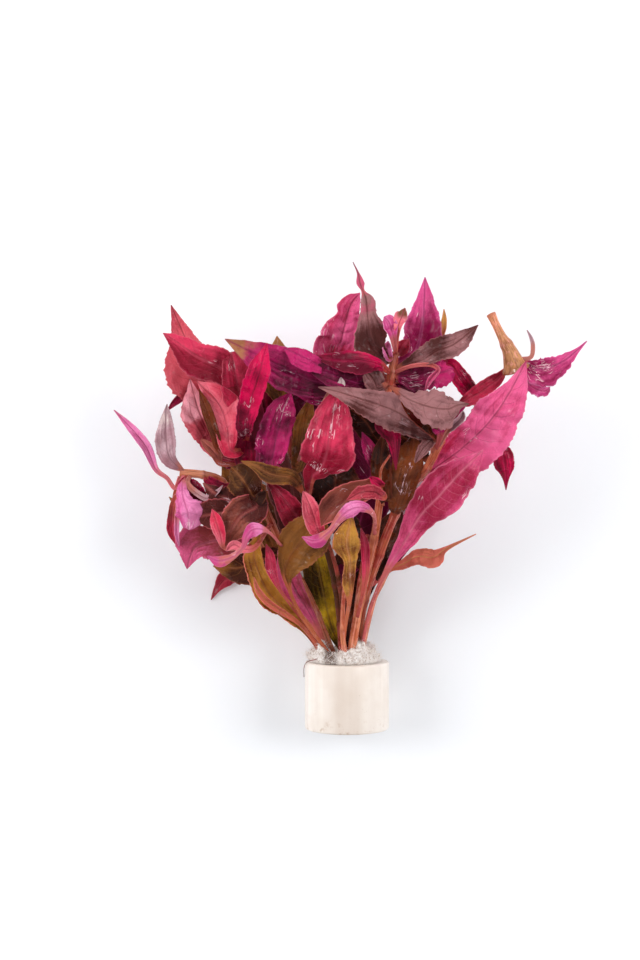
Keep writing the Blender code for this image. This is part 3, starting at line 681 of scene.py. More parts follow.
def leaf(name, skin, tones, stations, roll=(0, 0), fold=8, curl=10, rolled=(0, 0), wave=0.4, ragged=0.05,
         sides=0.0, age=(0, 0), wet=(0, 0)):
    """One leaf, with tones from dark to light along it, which hold both its own colour and painted shade
    where it lies under others. Each station of its rib is (column, row, height) and the blade's reach to the
    left and to the right, or one reach for both, or none on the bare stalk. A leaf of a stem starts with
    (stem, share along it). roll turns the blade about its rib. Its halves rise by fold degrees at the rib, by
    curl more towards the margin, and by rolled in a rolled margin. wave and ragged are for the margin. sides
    lights the right half more than the left. age turns the leaf to the colour its skin ages to, which on
    olive leaves is a near-black painted shade. wet raises painted glints, white highlight painted into the
    colour. A leaf whose name ends in leaf or lip takes the place of the plain leaf of that name."""
    node = name if name.endswith(("_leaf", "_lip")) else None
    name = name.replace("_leaf", "_blade").replace("_lip", "_fold")
    if len(stations[0]) == 2:
        stations = [base_on_stem(*stations[0], stations[1])] + stations[1:]
    dice = random.Random(name)
    middle = seen_at([station[:3] for station in stations])
    reaches = [(station[3:] * 2)[:2] or (STALK_REACH, STALK_REACH) for station in stations]
    reaches[-1] = (TIP_REACH, TIP_REACH)
    length = np.linalg.norm(np.diff(middle, axis=0), axis=1).sum()
    rows = int(min(100, max(40, length * ROWS_FOR_A_MILLIMETRE)))
    shares = np.linspace(0, 1, rows)
    line = smooth(middle, shares)
    right, up = beside(line)
    spin = np.radians(smooth(roll, shares))[:, None]
    level = right * np.cos(spin) + up * np.sin(spin)
    normal = up * np.cos(spin) - right * np.sin(spin)

    # From here on a row goes along the leaf by t, and a column across it by v, which is 0 at the rib.
    t = shares[:, None]
    x = np.linspace(-1, 1, ACROSS + 1)
    v = np.sign(x) * (np.abs(x) ** 1.25 + np.sin(np.abs(x) * math.pi / 2)) / 2
    s, side = np.abs(v), np.where(v < 0, -1.0, 1.0)
    halves = [half_section(s, fold, curl, edge) for edge in rolled]
    out, rise, slope = np.where(v < 0, *halves)
    reach = smooth(reaches, shares)
    half = np.maximum(np.where(v < 0, reach[:, :1], reach[:, 1:]), TIP_REACH)
    blade = np.clip((half - 0.9) / 1.6, 0, 1)
    notch = sum(dice.uniform(0.2, 1) * np.sin(k * math.tau * t + dice.uniform(0, math.tau) + side)
                for k in (5, 8, 13, 19, 31)) / 2
    half = half * (1 + ragged * notch * blade)
    out, rise = half * out, half * rise
    away = s * half

    # What lifts the skin: the waves of the margin, the swells between the veins, and wide and small bumps.
    # A rung is a whole number on each side vein. The skin gets it with 50 added, so that it is never below 0.
    phase = dice.uniform(0, math.tau)
    ruffle = wave * np.minimum(1, half / 5) * s**2 * np.sin(math.tau * (2.2 * t + 0.25 * v))
    ruffle = ruffle + 0.6 * wave * blade * s**3 * np.sin(math.tau * 5.3 * t + phase + 1.7 * side)
    ruffle = ruffle + 0.3 * wave * blade * s**4 * np.sin(math.tau * 11 * t + 2 * phase + 2.9 * side)
    veins = max(4, round(length / VEINS_APART))
    lean = 0.95 * max(max(pair) for pair in reaches) / length
    rung = veins * (t - lean * (0.45 * s + 0.55 * s**2)) + 0.12 * side * s * veins / 4
    swell = 0.2 * blade * np.sin(math.pi * np.clip(s * 1.15, 0, 1)) * (0.5 - 0.5 * np.cos(math.tau * rung))
    flat = line[:, None] + level[:, None] * (side * out)[..., None]
    buckle = bumps(flat, 13, name + " buckle") * 0.9 * blade * s
    buckle = buckle + bumps(flat, 5, name + " pucker") * 0.44 * blade
    groove = -0.12 * np.exp(-((away / 0.5) ** 2)) * blade
    rise = rise + ruffle + swell + groove + buckle
    middle = flat + normal[:, None] * rise[..., None]
    middle[..., 2] = np.maximum(middle[..., 2], LOWEST_MIDDLE)

    # The two sides of the skin, which are round on the stalk. The rib stands out underneath.
    facing = normal[:, None] * np.cos(slope)[..., None] - level[:, None] * (side * np.sin(slope))[..., None]
    stalk = np.clip(1.3 - half, 0, 1) * np.clip(1.6 - 2.4 * t, 0, 1)
    over = HALF_BLADE + stalk * STALK_ROUNDING * np.sqrt(np.maximum(0, 1 - s**2))
    under = over + RIB_DEPTH * np.exp(-((away / 0.45) ** 2)) * blade * (1 - 0.75 * t)
    top = middle + facing * over[..., None]
    bottom = middle - facing * under[..., None]
    bottom[..., 2] = np.maximum(bottom[..., 2], LOWEST_UNDERSIDE)
    places = np.concatenate([top, bottom[:, ::-1]], axis=1)
    across = np.concatenate([(v + 1) / 2, 2 - (v[::-1] + 1) / 2, [2.0]])
    marks = {
        "shade": smooth(tones, shares)[:, None] + sides * v + bumps(middle, 16, name) * 0.3,
        "rung": rung + 50,
        "reach": away,
        "age": smooth(age, shares)[:, None] + 0 * s,
        "wet": smooth(wet, shares)[:, None] * (1 - 0.5 * s),
        "stalk": np.clip(1.8 - half, 0, 1) * np.clip(1.7 - 2.2 * t, 0, 1)}
    marks = {mark: np.concatenate([values, values[:, ::-1]], axis=1) for mark, values in marks.items()}
    piece = wrapped(name, places, across, **marks)
    piece.data.materials.append(leaf_materials[skin])
    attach(piece, "root")
    if node:
        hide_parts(node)


# Leaves on the left
# They grow from the left stem and the side stem: long red blades above, and short pale orchid ones that have
# curled over below.
leaf("tall_left_leaf", "brick", (0.2, 0.6, 0.9, 0.2), [
    ("left", 0.97), (214, 397, 35, 8, 6), (197, 365, 37, 12, 6.4), (184, 335, 36, 4.8, 3),
    (171, 305, 33)], wave=0.5, age=(0, 0, 0, 0.2))
leaf("curled_tip_leaf", "ruby", (0.5, 0.2, 0.4, 1.0), [
    ("left", 1.0), (247, 404, 47, 0.7), (226, 372, 50, 5, 6), (198, 357, 51, 7, 5),
    (177, 342, 49, 3, 2.5), (163, 333, 46)], wave=0.6, sides=0.4, wet=(-1, -0.8, -0.5, -1, -1))
leaf("red_lobe", "ruby", (0.9, 0.7, 0.5, 0.2, 0.2), [
    ("left", 0.99), (246, 414, 41, 1.5), (239, 396, 46, 5.6, 3.6), (235, 374, 53, 4.4, 5.6),
    (233, 359, 53.5, 3.2, 4.6), (231, 352, 52)], fold=6, curl=15, wave=0.6, sides=0.2)
leaf("narrow_tail", "crimson", (0.4, 0.6), [
    ("left", 0.9), (200, 400, 36, 1.6), (186, 396, 36, 1.6, 1.8), (176, 402, 35, 1.2, 1.4),
    (167, 411, 34)], fold=20, wave=0.2)
leaf("glossy_rose_leaf", "brick", (0.3, 0.5, 0.7, 0.9), [
    ("left", 0.8), (219, 450, 38, 3.5, 3), (208, 431, 40, 5.6, 4), (198, 408, 41, 6.2, 3.4),
    (190, 379, 39)], fold=10, age=(0, 0, 0.2, 0.8, 0.9), wet=(0, 0, 0.3, 0.8, 0.3))
leaf("salmon_leaf", "salmon", (-0.4, -0.1, 0.8, 0.9), [
    ("left", 0.88), (231, 450, 44, 3, 1.8), (227, 428, 45, 4.2), (219, 404, 45, 4.4, 6.6),
    (197, 381, 42)], wave=0.3, sides=-0.3)
leaf("brown_crease", "bark", (0.9, 0.6), [
    ("left", 0.86), (222, 452, 42, 1.2), (214, 432, 46.4, 1.7, 1.9), (206, 408, 47, 1.8, 1.9),
    (199, 389, 45)], fold=15, wave=0.3)
leaf("rust_point", "cupped", (0.5, 1.0), [
    ("left", 0.8), (222, 464, 38, 0.9), (216, 455, 42, 1.6, 2), (208, 446, 42, 1.6, 1.8),
    (199, 438, 40)], fold=12, wave=0.3)
leaf("grey_left_leaf", "ash", (0.0, 0.5, 0.7), [
    ("side", 0.98), (170, 458, 34, 3.3, 2.2), (166, 440, 35, 3.8, 3.6), (166, 420, 36, 2, 2.3),
    (167, 404, 34)], wave=0.3, age=(0, 0, 0.3, 0.5))
leaf("far_left_leaf", "orchid", (0.4, 0.5, 1.2, 0.8, 0.4), [
    ("side", 1.0), (175, 488, 30, 0.8), (167, 478, 28, 0.8), (156, 469, 27, 1.1), (147, 448, 27, 2),
    (132, 429, 26, 1.7), (114, 410, 24)], roll=(10, -10), fold=25, wave=0.2, age=(0.3, 0.5, 0, 0, 0.1, 0.6))
leaf("orchid_leaf", "orchid", (1.0, 1.0, 0.7, 0.6), [
    ("side", 0.97), (182, 488, 37, 1.8, 2), (184, 500, 40, 3.2), (188, 512, 40, 6.8, 4.4),
    (189, 522, 38, 6.2, 4.6), (189, 530, 35)], fold=-8, curl=-18, wave=0.8, ragged=0.1, sides=-0.2,
    wet=(0, 0, 0.5, 1, 1, 0.8))
leaf("orchid_ridge", "orchid", (0.8, 1.2), [
    ("side", 0.96), (178, 505, 34, 0.8), (177, 522, 35, 1.1), (177, 534, 34, 1), (179, 546, 32)],
    fold=10, curl=60, wave=0.2)
leaf("crimson_knob", "crimson", (0.3, 0.4), [
    ("side", 0.93), (186, 480, 32, 1.5), (182, 486, 34, 2), (180, 492, 34)], fold=10, curl=60)
leaf("knob_side", "crimson", (-0.2, 0.2, -0.2), [
    ("side", 0.93), (188, 481, 32, 2), (192, 488, 33, 3.4, 3.2), (199, 497, 33, 3.4, 3.2),
    (209, 504, 32)], fold=10, curl=30, wave=0.5)
leaf("lower_left_leaf", "mauve", (-0.3, 0.0, 0.4, 1.1, 1.1), [
    ("side", 0.48), (234, 537, 29, 4.5, 5), (213, 541, 31, 6.2, 5.6), (196, 547, 30, 4.8, 8),
    (190, 558, 29, 2.4, 3.4), (187, 569, 28)], wave=0.6)
leaf("brown_edge", "ruby", (0.1, 0.4), [
    ("side", 0.95), (175, 500, 26, 1.2), (172, 516, 24, 1.6), (172, 531, 24, 2, 1.8), (176, 545, 24)],
    fold=15, curl=15, age=(0.6, 0.3, 0))
leaf("olive_sliver", "olive", (0.6, 0.9), [
    ("side", 0.96), (177, 488, 27, 0.8), (174, 500, 25, 0.9, 0.8), (169, 497, 24)], fold=15, curl=15,
    wave=0.2)
leaf("grey_ribbon", "ash", (0.3, 0.7), [
    ("side", 0.93), (188, 484, 34, 1), (196, 493, 36, 1.3), (208, 499, 38, 1.3), (218, 492, 40, 1),
    (223, 485, 41)], roll=(0, 40), fold=20, curl=30, wave=0.3)
leaf("crimson_scrap", "crimson", (-0.1, 0.2), [
    ("side", 0.8), (208, 480, 32, 1.6), (216, 486, 34, 2.4, 2.2), (225, 487, 35, 1.6), (231, 483, 35)],
    fold=15, curl=20, wave=0.5)
leaf("wet_mauve_leaf", "cupped", (-1.0, -0.7, -0.1), [
    ("left", 0.58), (240, 505, 38, 3), (228, 499, 40, 4.2, 3.8), (216, 494, 40, 3.6, 3),
    (203, 483, 37)], fold=-6, curl=-10, wave=1.1, ragged=0.14, wet=(0, 0.7, 1, 1, 0.5))
leaf("left_cupped_leaf", "cupped", (-0.8, -0.1, 0.5, 0.4), [
    ("left", 0.62), (256, 507, 46, 4.5, 5), (242, 515, 49, 7, 6.5), (231, 530, 49, 5, 4.5),
    (225, 548, 47)], curl=30, wave=0.5)
leaf("cup_margin", "salmon", (0.4, 0.7, 0.8, 0.5, 0.0, -0.3), [
    ("left", 0.5), (250, 545, 43, 0.5), (226, 549, 48.5, 0.5), (220, 534, 51.5, 1.9, 2),
    (216, 521, 51.5, 2.1, 2.2), (212, 509, 49)], fold=5, curl=20, sides=-0.3)
leaf("under_orchid", "cupped", (-0.4, -0.3, 0.0), [
    ("left", 0.6), (240, 518, 40, 3), (222, 513, 41, 5), (206, 515, 38, 4.4), (195, 518, 36)], wave=0.5)
leaf("left_pink_lip", "orchid", (0.2, 0.3, 0.6, 0.1, 0.0, 0.3), [
    ("left", 0.42), (281, 545, 40, 0.4), (268, 532, 51, 0.5, 0.7), (255, 529, 56, 2.8, 2.4),
    (247, 536, 57, 1.5), (243, 547, 56, 0.8), (232, 557, 55, 1.1), (219, 561, 54, 2.1, 1.7), (207, 556, 52)],
    fold=-10, curl=-20, wave=0.5, age=(0.5, 0.1, 0, 0.1, 0.8, 0.6, 0.3))
leaf("pink_curl", "salmon", (0.4, 1.2), [
    ("left", 0.5), (256, 546, 47, 1), (244, 549, 51, 1.7), (234, 545, 52, 2), (226, 551, 51)], fold=10,
    curl=60, wave=0.3)

# Leaves at the top
# They stand round the centre stem's tip: bright rose undersides behind, and dark purple and brown upper sides
# in front of them.
leaf("purple_wing_leaf", "wine", (-0.3, 0.2, 0.5, 0.9), [
    ("centre", 0.72), (325, 384, 53, 4.5, 7.5), (290, 371, 57, 7.3, 7.7), (257, 355, 59, 5, 4.5),
    (225, 339, 57)], wave=0.5, age=(0, 0, 0, 0.1, 1.2))
leaf("shadow_wing", "wine", (-0.5, -0.4, 0.1, 0.3), [
    ("centre", 0.76), (372, 386, 50, 2, 3), (350, 381, 56, 3.4, 4.2), (330, 374, 58.5, 4, 4.4),
    (306, 368, 57.5)], fold=6, curl=12)
leaf("pink_wing_fold", "wine", (0.0, 0.3, 0.8, 1.0), [
    ("centre", 0.74), (338, 378, 55, 0.8), (322, 367, 58, 2.4, 1.8), (309, 360, 61, 4, 2.8),
    (297, 354, 61, 3.8, 2.2), (284, 348, 59.5)], curl=15, wave=0.6)
leaf("olive_tip_leaf", "olive", (0.1, 0.4, 1.1), [
    ("left_centre", 1.0), (281, 385, 43, 6), (279, 360, 44, 5), (277, 336, 42)])
leaf("red_folded_leaf", "crimson", (-0.5, 0.2, 0.9, 0.7, 1.0), [
    ("left", 0.93), (246, 425, 54, 3.6, 2.5), (252, 396, 61, 4.4, 3.6), (260, 370, 65, 4.4, 3.5),
    (267, 343, 63)], roll=(-10, -10), fold=15, wave=0.5, sides=0.3, wet=(0, 1.2, 1.2, 1, 0))
leaf("tall_pink_leaf", "rose", (0.0, 0.6, 0.9, 0.9), [
    ("centre", 0.78), (340, 358, 44, 7.6, 4.6), (342, 338, 48, 7.5, 5.6), (345, 325, 49.5, 6.2, 5),
    (347, 315, 50, 3.4, 4.6), (349, 309, 50.5, 4.2, 3.9), (353, 301, 50.5, 2.9, 2.6), (360, 293, 49)],
    fold=6, wave=0.7, ragged=0.03, sides=0.1, wet=(0, 0.4, 0.5, 0.3, 0.3, 0.4, 0.4, 0))
leaf("top_brown_leaf", "umber", (-0.1, 0.1, 0.2, 0.9, 0.9, 1, 1, 1), [
    ("centre", 0.9), (377, 350, 54, 7, 3), (370, 334, 55, 5.6, 6.2), (367.5, 316, 55, 2.7, 3.5),
    (366.5, 301, 54.5, 2, 2.5), (363, 291, 54, 0.6), (360, 283, 53, 1.2, 1.5), (358, 273, 51, 0.4),
    (353, 262, 47)], fold=10, wave=0.5, age=(0, 0, 0, 0.5, 0.2, 0.8, 1, 1, 0.4), ragged=0.07, sides=-0.25)
leaf("tall_magenta_leaf", "fuchsia", (0.0, 0.2, 0.6, 0.8), [
    ("centre", 0.88), (415, 352, 44, 4.5, 6), (422, 327, 44, 6, 6.8), (424, 303, 43, 3.2, 3.8),
    (425, 277, 41)], sides=-0.35)
leaf("tan_sliver", "tan", (0.3, 0.9), [
    ("centre", 0.84), (430, 352, 43, 0.8), (441, 334, 43, 1.2), (444, 321, 43, 1), (444, 309, 42)],
    fold=15, curl=15, wave=0.2)
leaf("small_orchid_leaf", "orchid", (-0.6, -0.2, 0.3), [
    ("centre", 1.0), (393, 336, 60, 1.4), (391, 328, 60, 2.6), (388, 321, 60, 2, 2.4), (384, 317, 58)],
    fold=20)
leaf("tan_tip", "salmon", (0.2, 0.8, 1.0), [
    ("centre", 0.99), (397, 334, 59, 1), (399, 324, 60, 2, 1.6), (402, 316, 60, 2.4, 2.2),
    (405, 308, 59)], roll=(0, 20), fold=25, curl=20, age=(0, 0, 0.3, 0.9))
leaf("small_crimson", "ruby", (0.0, 0.4, 0.1), [
    ("centre", 0.97), (399, 354, 51, 1.6), (403, 347, 52, 2.8, 2.6), (409, 339, 51)], fold=15, curl=30)
leaf("crumpled_bud", "orchid", (0.0, 0.6), [
    ("centre", 0.95), (389, 358, 52, 1.5), (387, 349, 54, 2), (388, 341, 53)], fold=20, curl=40,
    wave=0.8, ragged=0.15)
leaf("dark_right_leaf", "umber", (-0.1, 0.3, 0.5, 0.3), [
    ("centre", 0.86), (420, 361, 55, 3.5, 2.2), (437, 351, 56.5, 4.4, 4), (456, 343, 57, 3.6, 4.4),
    (478, 325, 54)], wave=0.8, ragged=0.08, sides=0.2, rolled=(0, 100))
leaf("under_right_leaf", "wine", (0.1, 0.4, 0.7, 1.0), [
    ("centre", 0.8), (412, 378, 47, 4.5), (430, 373, 48, 5, 5.4), (442, 372, 47, 4.2, 5),
    (453, 368, 44)], wave=1.3, ragged=0.14, wet=(0.5, 1, 1, 1, 0))
leaf("looped_stalk", "rose", (0.3, 0.9), [
    ("centre", 0.83), (412, 366, 55, 0.7), (430, 365, 56, 0.8), (438, 370, 56, 0.9),
    (430, 380, 54, 1.2), (425, 391, 52)], fold=20, curl=40, wave=0.3)
leaf("dark_band_leaf", "crimson", (0.1, 0.5, 0.4), [
    ("centre", 0.75), (425, 378, 38, 1), (448, 364, 37, 2.2, 2), (461, 380, 37, 3.2),
    (471, 394, 36, 2.6), (480, 410, 35)], wave=0.2)
leaf("arching_crimson_leaf", "crimson", (0.5, 0.1, 0.0, 0.3), [
    ("centre", 0.82), (380, 365, 57, 2, 1.5), (362, 361, 60, 4.6, 3), (342, 361, 60.5, 3.4),
    (314, 357, 58)], wave=0.3, sides=0.25)
leaf("veined_brown", "umber", (0.7, 0.9), [
    ("centre", 0.74), (378, 388, 53, 2.4), (373, 379, 54.5, 3.6), (365, 370, 54.5, 1.4),
    (361, 366, 54)], curl=12, wave=0.3)

# Leaves in the middle
# Grey-brown blades lie on top of the bunch, glossy red and purple ones stand under them, and two have curled
# up into cups with pink lips.
leaf("long_grey_leaf", "umber", (0.2, 0.6, 1.0), [
    ("right", 1.0), (420, 427, 60, 4.3, 4), (395, 411, 61, 6.8, 5.2), (366, 401, 62, 5.2, 4),
    (342, 393, 62, 2.4, 2), (318, 387, 60)], wave=1.1, ragged=0.08)
leaf("right_grey_leaf", "umber", (0.4, 0.9, 0.3), [
    ("centre", 0.73), (394, 389, 59, 0.7), (410, 400, 68.5, 3.6, 2.6), (430, 407, 70, 5.8),
    (447, 409, 68, 4.4, 6.4), (458, 405, 66, 1.6, 1.8), (469, 404, 64)], fold=-6, curl=-10, wave=1.5,
    ragged=0.14)
leaf("brown_curl", "bark", (0.3, 0.9), [
    ("right", 0.99), (437, 437, 57, 1.5), (426, 425, 64, 2.6), (413, 413, 66, 2.6, 3.2),
    (401, 402, 65)], fold=20, curl=40, wave=0.5, age=(0, 0.3, 0.3))
leaf("curled_grey", "ash", (0.0, 0.5), [
    ("right", 0.98), (448, 431, 58, 1), (455, 424, 62, 2), (461, 418, 63, 2), (463, 411, 62)], fold=25,
    curl=60)
leaf("purple_bit", "wine", (0.2, 1.0), [
    ("right", 0.96), (440, 434, 60, 1.2), (437, 428, 62, 2.2), (436, 421, 62)], fold=15, curl=40,
    wave=0.8, ragged=0.2)
leaf("far_bit", "wine", (0.2, 0.8), [
    ("right", 0.97), (450, 424, 56, 0.8), (456, 413, 59, 1.8), (465, 407, 60)], fold=15, curl=40,
    wave=0.8, ragged=0.2)
leaf("grey_hanging", "umber", (0.2, 0.6), [
    ("right", 0.93), (433, 440, 55, 1.5), (425, 446, 56, 2.6, 2.2), (419, 455, 55, 1.6, 1.4),
    (415, 463, 53)], fold=15, curl=40, wave=0.8, ragged=0.12)
leaf("big_centre_leaf", "ruby", (-0.7, -0.4, 0.1, 0.3, 0.7, 0.8), [
    ("left_centre", 0.66), (312, 478, 49, 2.8, 1.4), (320, 470, 52, 7.2, 3.6), (326, 455, 55, 8.8, 9.6),
    (330, 432, 57, 7.6, 8), (334, 408, 57, 5, 5.4), (340, 386, 56)], wave=0.6, sides=0.1,
    wet=(0, 0, 0.4, 1.0, 0.9, 0, 0))
leaf("pale_point", "ash", (1.0, 1.3, 1.0), [
    ("left_centre", 0.8), (326, 400, 54, 1), (336, 390, 56.5, 1.4), (341, 384, 58, 1.5),
    (341, 377, 58)], fold=15, curl=20, wave=0.2, age=(0, 0.3, 0.6))
leaf("purple_glossy_leaf", "wine", (0.4, 0.6, 0.7), [
    ("left_centre", 0.75), (272, 468, 44, 4, 3), (274, 450, 46, 6.6, 4.6), (278, 428, 47, 6.2, 5),
    (284, 408, 47.5, 4.8, 4.4), (291, 392, 47)], fold=10, wave=0.6, sides=0.2,
    wet=(0, 0.9, 1.2, 1.2, 1.2, 0.6))
leaf("deep_crimson_leaf", "crimson", (-0.3, 0.0, 0.1, 0.3), [
    ("left", 0.7), (250, 462, 37, 5, 4), (249, 438, 40, 5.4, 4.6), (251, 412, 41, 5.2, 4.6),
    (258, 385, 40)], wave=0.3)
# A dark leaf deep under the salmon and red leaves: painted shade in the gap there.
leaf("deep_back", "crimson", (-0.4, -0.3), [
    ("left", 0.74), (243, 464, 33, 3, 4), (231, 457, 34, 4, 5), (216, 448, 32)], wave=0.3)
leaf("olive_strip", "olive", (0.0, 0.3, 0.8), [
    ("left_centre", 0.82), (297, 468, 40, 2), (301, 445, 41, 3.2), (305, 420, 41, 3.2), (313, 395, 40)],
    curl=12)
leaf("dark_glossy", "wine", (-0.3, 0.1, 0.4), [
    ("centre", 0.71), (348, 396, 47, 3, 2.5), (330, 397, 48, 3.6, 3), (313, 397, 48, 2.6),
    (296, 395, 46)], curl=12, wave=0.5, wet=(0, 1, 1, 1, 0))
leaf("tan_leaf", "olive", (0.1, 0.5, 0.9), [
    ("left_centre", 0.7), (292, 478, 47, 2.4), (271, 474, 50, 3.4, 3), (256, 466, 49, 1.8, 1.6),
    (241, 461, 47)], wave=0.3)
leaf("hanging_crimson_leaf", "crimson", (-0.1, 0.3, 0.4), [
    ("centre", 0.64), (386, 424, 53, 4.4, 3.8), (393, 437, 53.5, 2.8, 2.6), (395, 452, 52, 1.4),
    (396, 470, 49)])
leaf("brown_cover", "bark", (0.1, 0.5, 0.3), [
    ("centre", 0.47), (386, 500, 46.5, 2), (382, 480, 47, 3.4, 3.2), (381, 455, 48, 3.2, 3),
    (384, 432, 49)])
leaf("small_glossy", "wine", (0.1, 0.4, 0.8), [
    ("centre", 0.57), (378, 467, 46, 1.6), (373, 457, 47, 2.7, 2.4), (368, 446, 47, 2.3),
    (362, 432, 46)], fold=10, curl=15, wet=(0, 0.5, 1, 1, 0))
leaf("wet_brown_leaf", "wet_bark", (0.4, 0.9, 0.3), [
    ("right", 0.5), (398, 503, 46, 4), (404, 482, 47, 5, 4.8), (411, 459, 49, 5.8, 4.4),
    (415, 430, 47.5)], fold=-6, curl=-10, wave=0.8, wet=(0, 0.3, 1.2, 1.3, 0))
leaf("dusk_leaf", "ruby", (0.4, 0.1, 0.0, 0.1), [
    ("left_centre", 0.57), (300, 520, 34.5, 5, 3.8), (289, 505, 38, 4.8, 3.6), (277, 491, 39.5, 2.2, 2),
    (266, 480, 40)], wave=0.3, age=(0.5, 0.2, 0))
leaf("centre_cupped_leaf", "cupped", (1.2, 1.0, 0.8, 0.8), [
    ("centre", 0.47), (368, 490, 51, 4), (350, 498, 53, 6.4), (334, 510, 53, 6, 6.6), (321, 526, 51)],
    fold=10, curl=50, rolled=(150, 0), age=(0.4, 0.1, 0))
leaf("salmon_lobe", "salmon", (0.3, 0.6, 1.0), [
    ("left_centre", 0.52), (318, 530, 44, 3, 2.6), (313, 514, 48, 4, 3.4), (308, 501, 48, 2.4),
    (303, 491, 46)], fold=10, curl=40)
leaf("cup_fold", "brick", (0.2, 0.8), [
    ("centre", 0.46), (384, 497, 52, 1), (374, 492, 56, 2.6), (360, 493, 58, 2.6), (347, 500, 57)],
    fold=10, curl=50, wave=0.6, ragged=0.12)
leaf("crimson_bit", "crimson", (0.3, 0.8), [
    ("centre", 0.46), (381, 486, 52, 1.2), (376, 482, 55, 1.9), (369, 477, 54)], fold=15, curl=40,
    wave=0.5, ragged=0.15)
leaf("centre_pink_lip", "orchid", (0.2, 0.4, 0.6, 0.2, 0.3, 0.5), [
    ("centre", 0.35), (374, 516, 52, 0.7), (364, 508, 62, 1.6, 2), (352, 509, 66, 3.2, 2.6),
    (341, 517, 65, 1.7), (330, 531, 63, 1.1), (316, 541, 61, 2.6, 2.2), (302, 537, 58)], fold=-10, curl=-20,
    wave=0.5, age=(0.6, 0.6, 0.1, 0, 0.7, 0.9, 0.3, 0))
leaf("narrow_rose_leaf", "ruby", (0.6, 0.9, 0.3, 0.2), [
    ("centre", 0.13), (363, 594, 35, 0.8, 0.6), (366, 575, 39, 1.4, 1), (366, 558, 41, 1.6, 1.3),
    (365, 543, 42, 1.6, 1.3), (361, 528, 41)], wave=0.2)
# The dome darkens to near-black towards its base, by its tones and its ageing: painted shade.
leaf("dome", "olive", (-0.8, -0.6, 0.0, 0.2), [
    ("left", 0.66), (254, 496, 42, 4.2, 3), (247, 486, 45, 5.6, 5.4), (240, 476, 45.5, 5.6, 5.4),
    (231, 467, 43.5)], fold=4, curl=22, wave=0.3, age=(1.2, 0.9, 0.4, 0), sides=-0.3)
# Three dark leaves under the cup, in the middle and under the grey leaves: painted shade in the gaps between
# the others.
leaf("shade_under_cup", "bark", (-0.2, 0.2), [
    ("left_centre", 0.5), (322, 515, 30, 5), (333, 495, 30, 8), (336, 475, 30, 8), (336, 452, 29)],
    wave=0.3)
leaf("shade_in_middle", "bark", (-0.2, 0.1), [
    ("centre", 0.6), (378, 440, 38, 4), (366, 422, 38, 5), (352, 410, 38, 4, 5), (335, 404, 36)],
    wave=0.3)
leaf("dark_under_grey", "wine", (-0.4, -0.1), [
    ("right", 0.95), (432, 425, 50, 3), (420, 410, 50, 4), (408, 398, 49, 3), (398, 385, 47)])

# Leaves on the right
# The largest blade grows from the right stem and shows its rose underside, with dark veins. A dark one hangs
# behind it. The loose cutting has a bright leaf, a crimson one and a crumpled end of its own.
leaf("big_upper_leaf", "rose", (0.8, 0.8, 0.8, 0.9, 0.8), [
    ("right", 0.78), (442, 463, 46, 4), (460, 450, 47, 6.7, 9.6), (480, 432, 49, 6.6, 10.4),
    (497, 412, 50, 7.3, 8.7), (512, 388, 50, 2.9, 5.7), (526, 361, 48)], fold=6, curl=8, wave=1.0,
    sides=0.15)
leaf("hanging_dark_leaf", "crimson", (0.2, 0.4, 0.3), [
    ("right", 0.7), (480, 452, 38, 0.8), (500, 452, 39, 3, 3.5), (505, 465, 39, 3.4, 3.8),
    (506, 478, 38, 1.2, 1.3), (506, 490, 36)], age=(0.2, 0.3))
leaf("far_right_leaf", "fuchsia", (-0.2, 0.6, 1.0), [
    ("loose", 0.9), (540, 369, 45, 3.7, 6.8), (560, 363, 45, 2.8, 3.8), (575, 352, 43, 1, 1.2),
    (587, 341, 41)], fold=15, wave=0.9, ragged=0.1, sides=-0.2, wet=(0, 1, 0.9, 0, 0))
leaf("crumpled_end", "orchid", (-0.2, 0.6), [
    ("loose", 0.98), (526, 379, 41, 2), (534, 388, 40, 3, 2.6), (544, 391, 39, 2), (550, 387, 38)],
    fold=10, curl=30, wave=1.0, ragged=0.2)
leaf("grey_sliver", "ash", (0.0, 0.4), [
    ("loose", 0.85), (531, 357, 45, 0.7), (533, 346, 45, 0.8, 0.7), (531, 338, 45, 0.6),
    (527, 330, 44)], fold=10, curl=20, wave=0.2)
leaf("crimson_long_leaf", "ruby", (0.5, 0.7, 0.3), [
    ("loose", 0.95), (497, 380, 40, 2, 2.6), (480, 392, 40, 3), (466, 400, 40, 2.5, 1.8),
    (457, 405, 38)])

# Leaves underneath
# The low ones hang from the stems and rest on the table or just above it. The others are dark leaves put deep
# in the bunch as painted shade, which shows as red and brown between the upper ones.
leaf("lower_tail_leaf", "brick", (-0.8, -0.6, 0.0, 0.2), [
    ("side", 0.2), (262, 576, 4, 0.8), (241, 578, 2, 1, 1.6), (227, 579, 1.5, 2.8, 3.4),
    (218, 588, 1, 1.4, 1.6), (211, 600, 0.7)], wave=0.3)
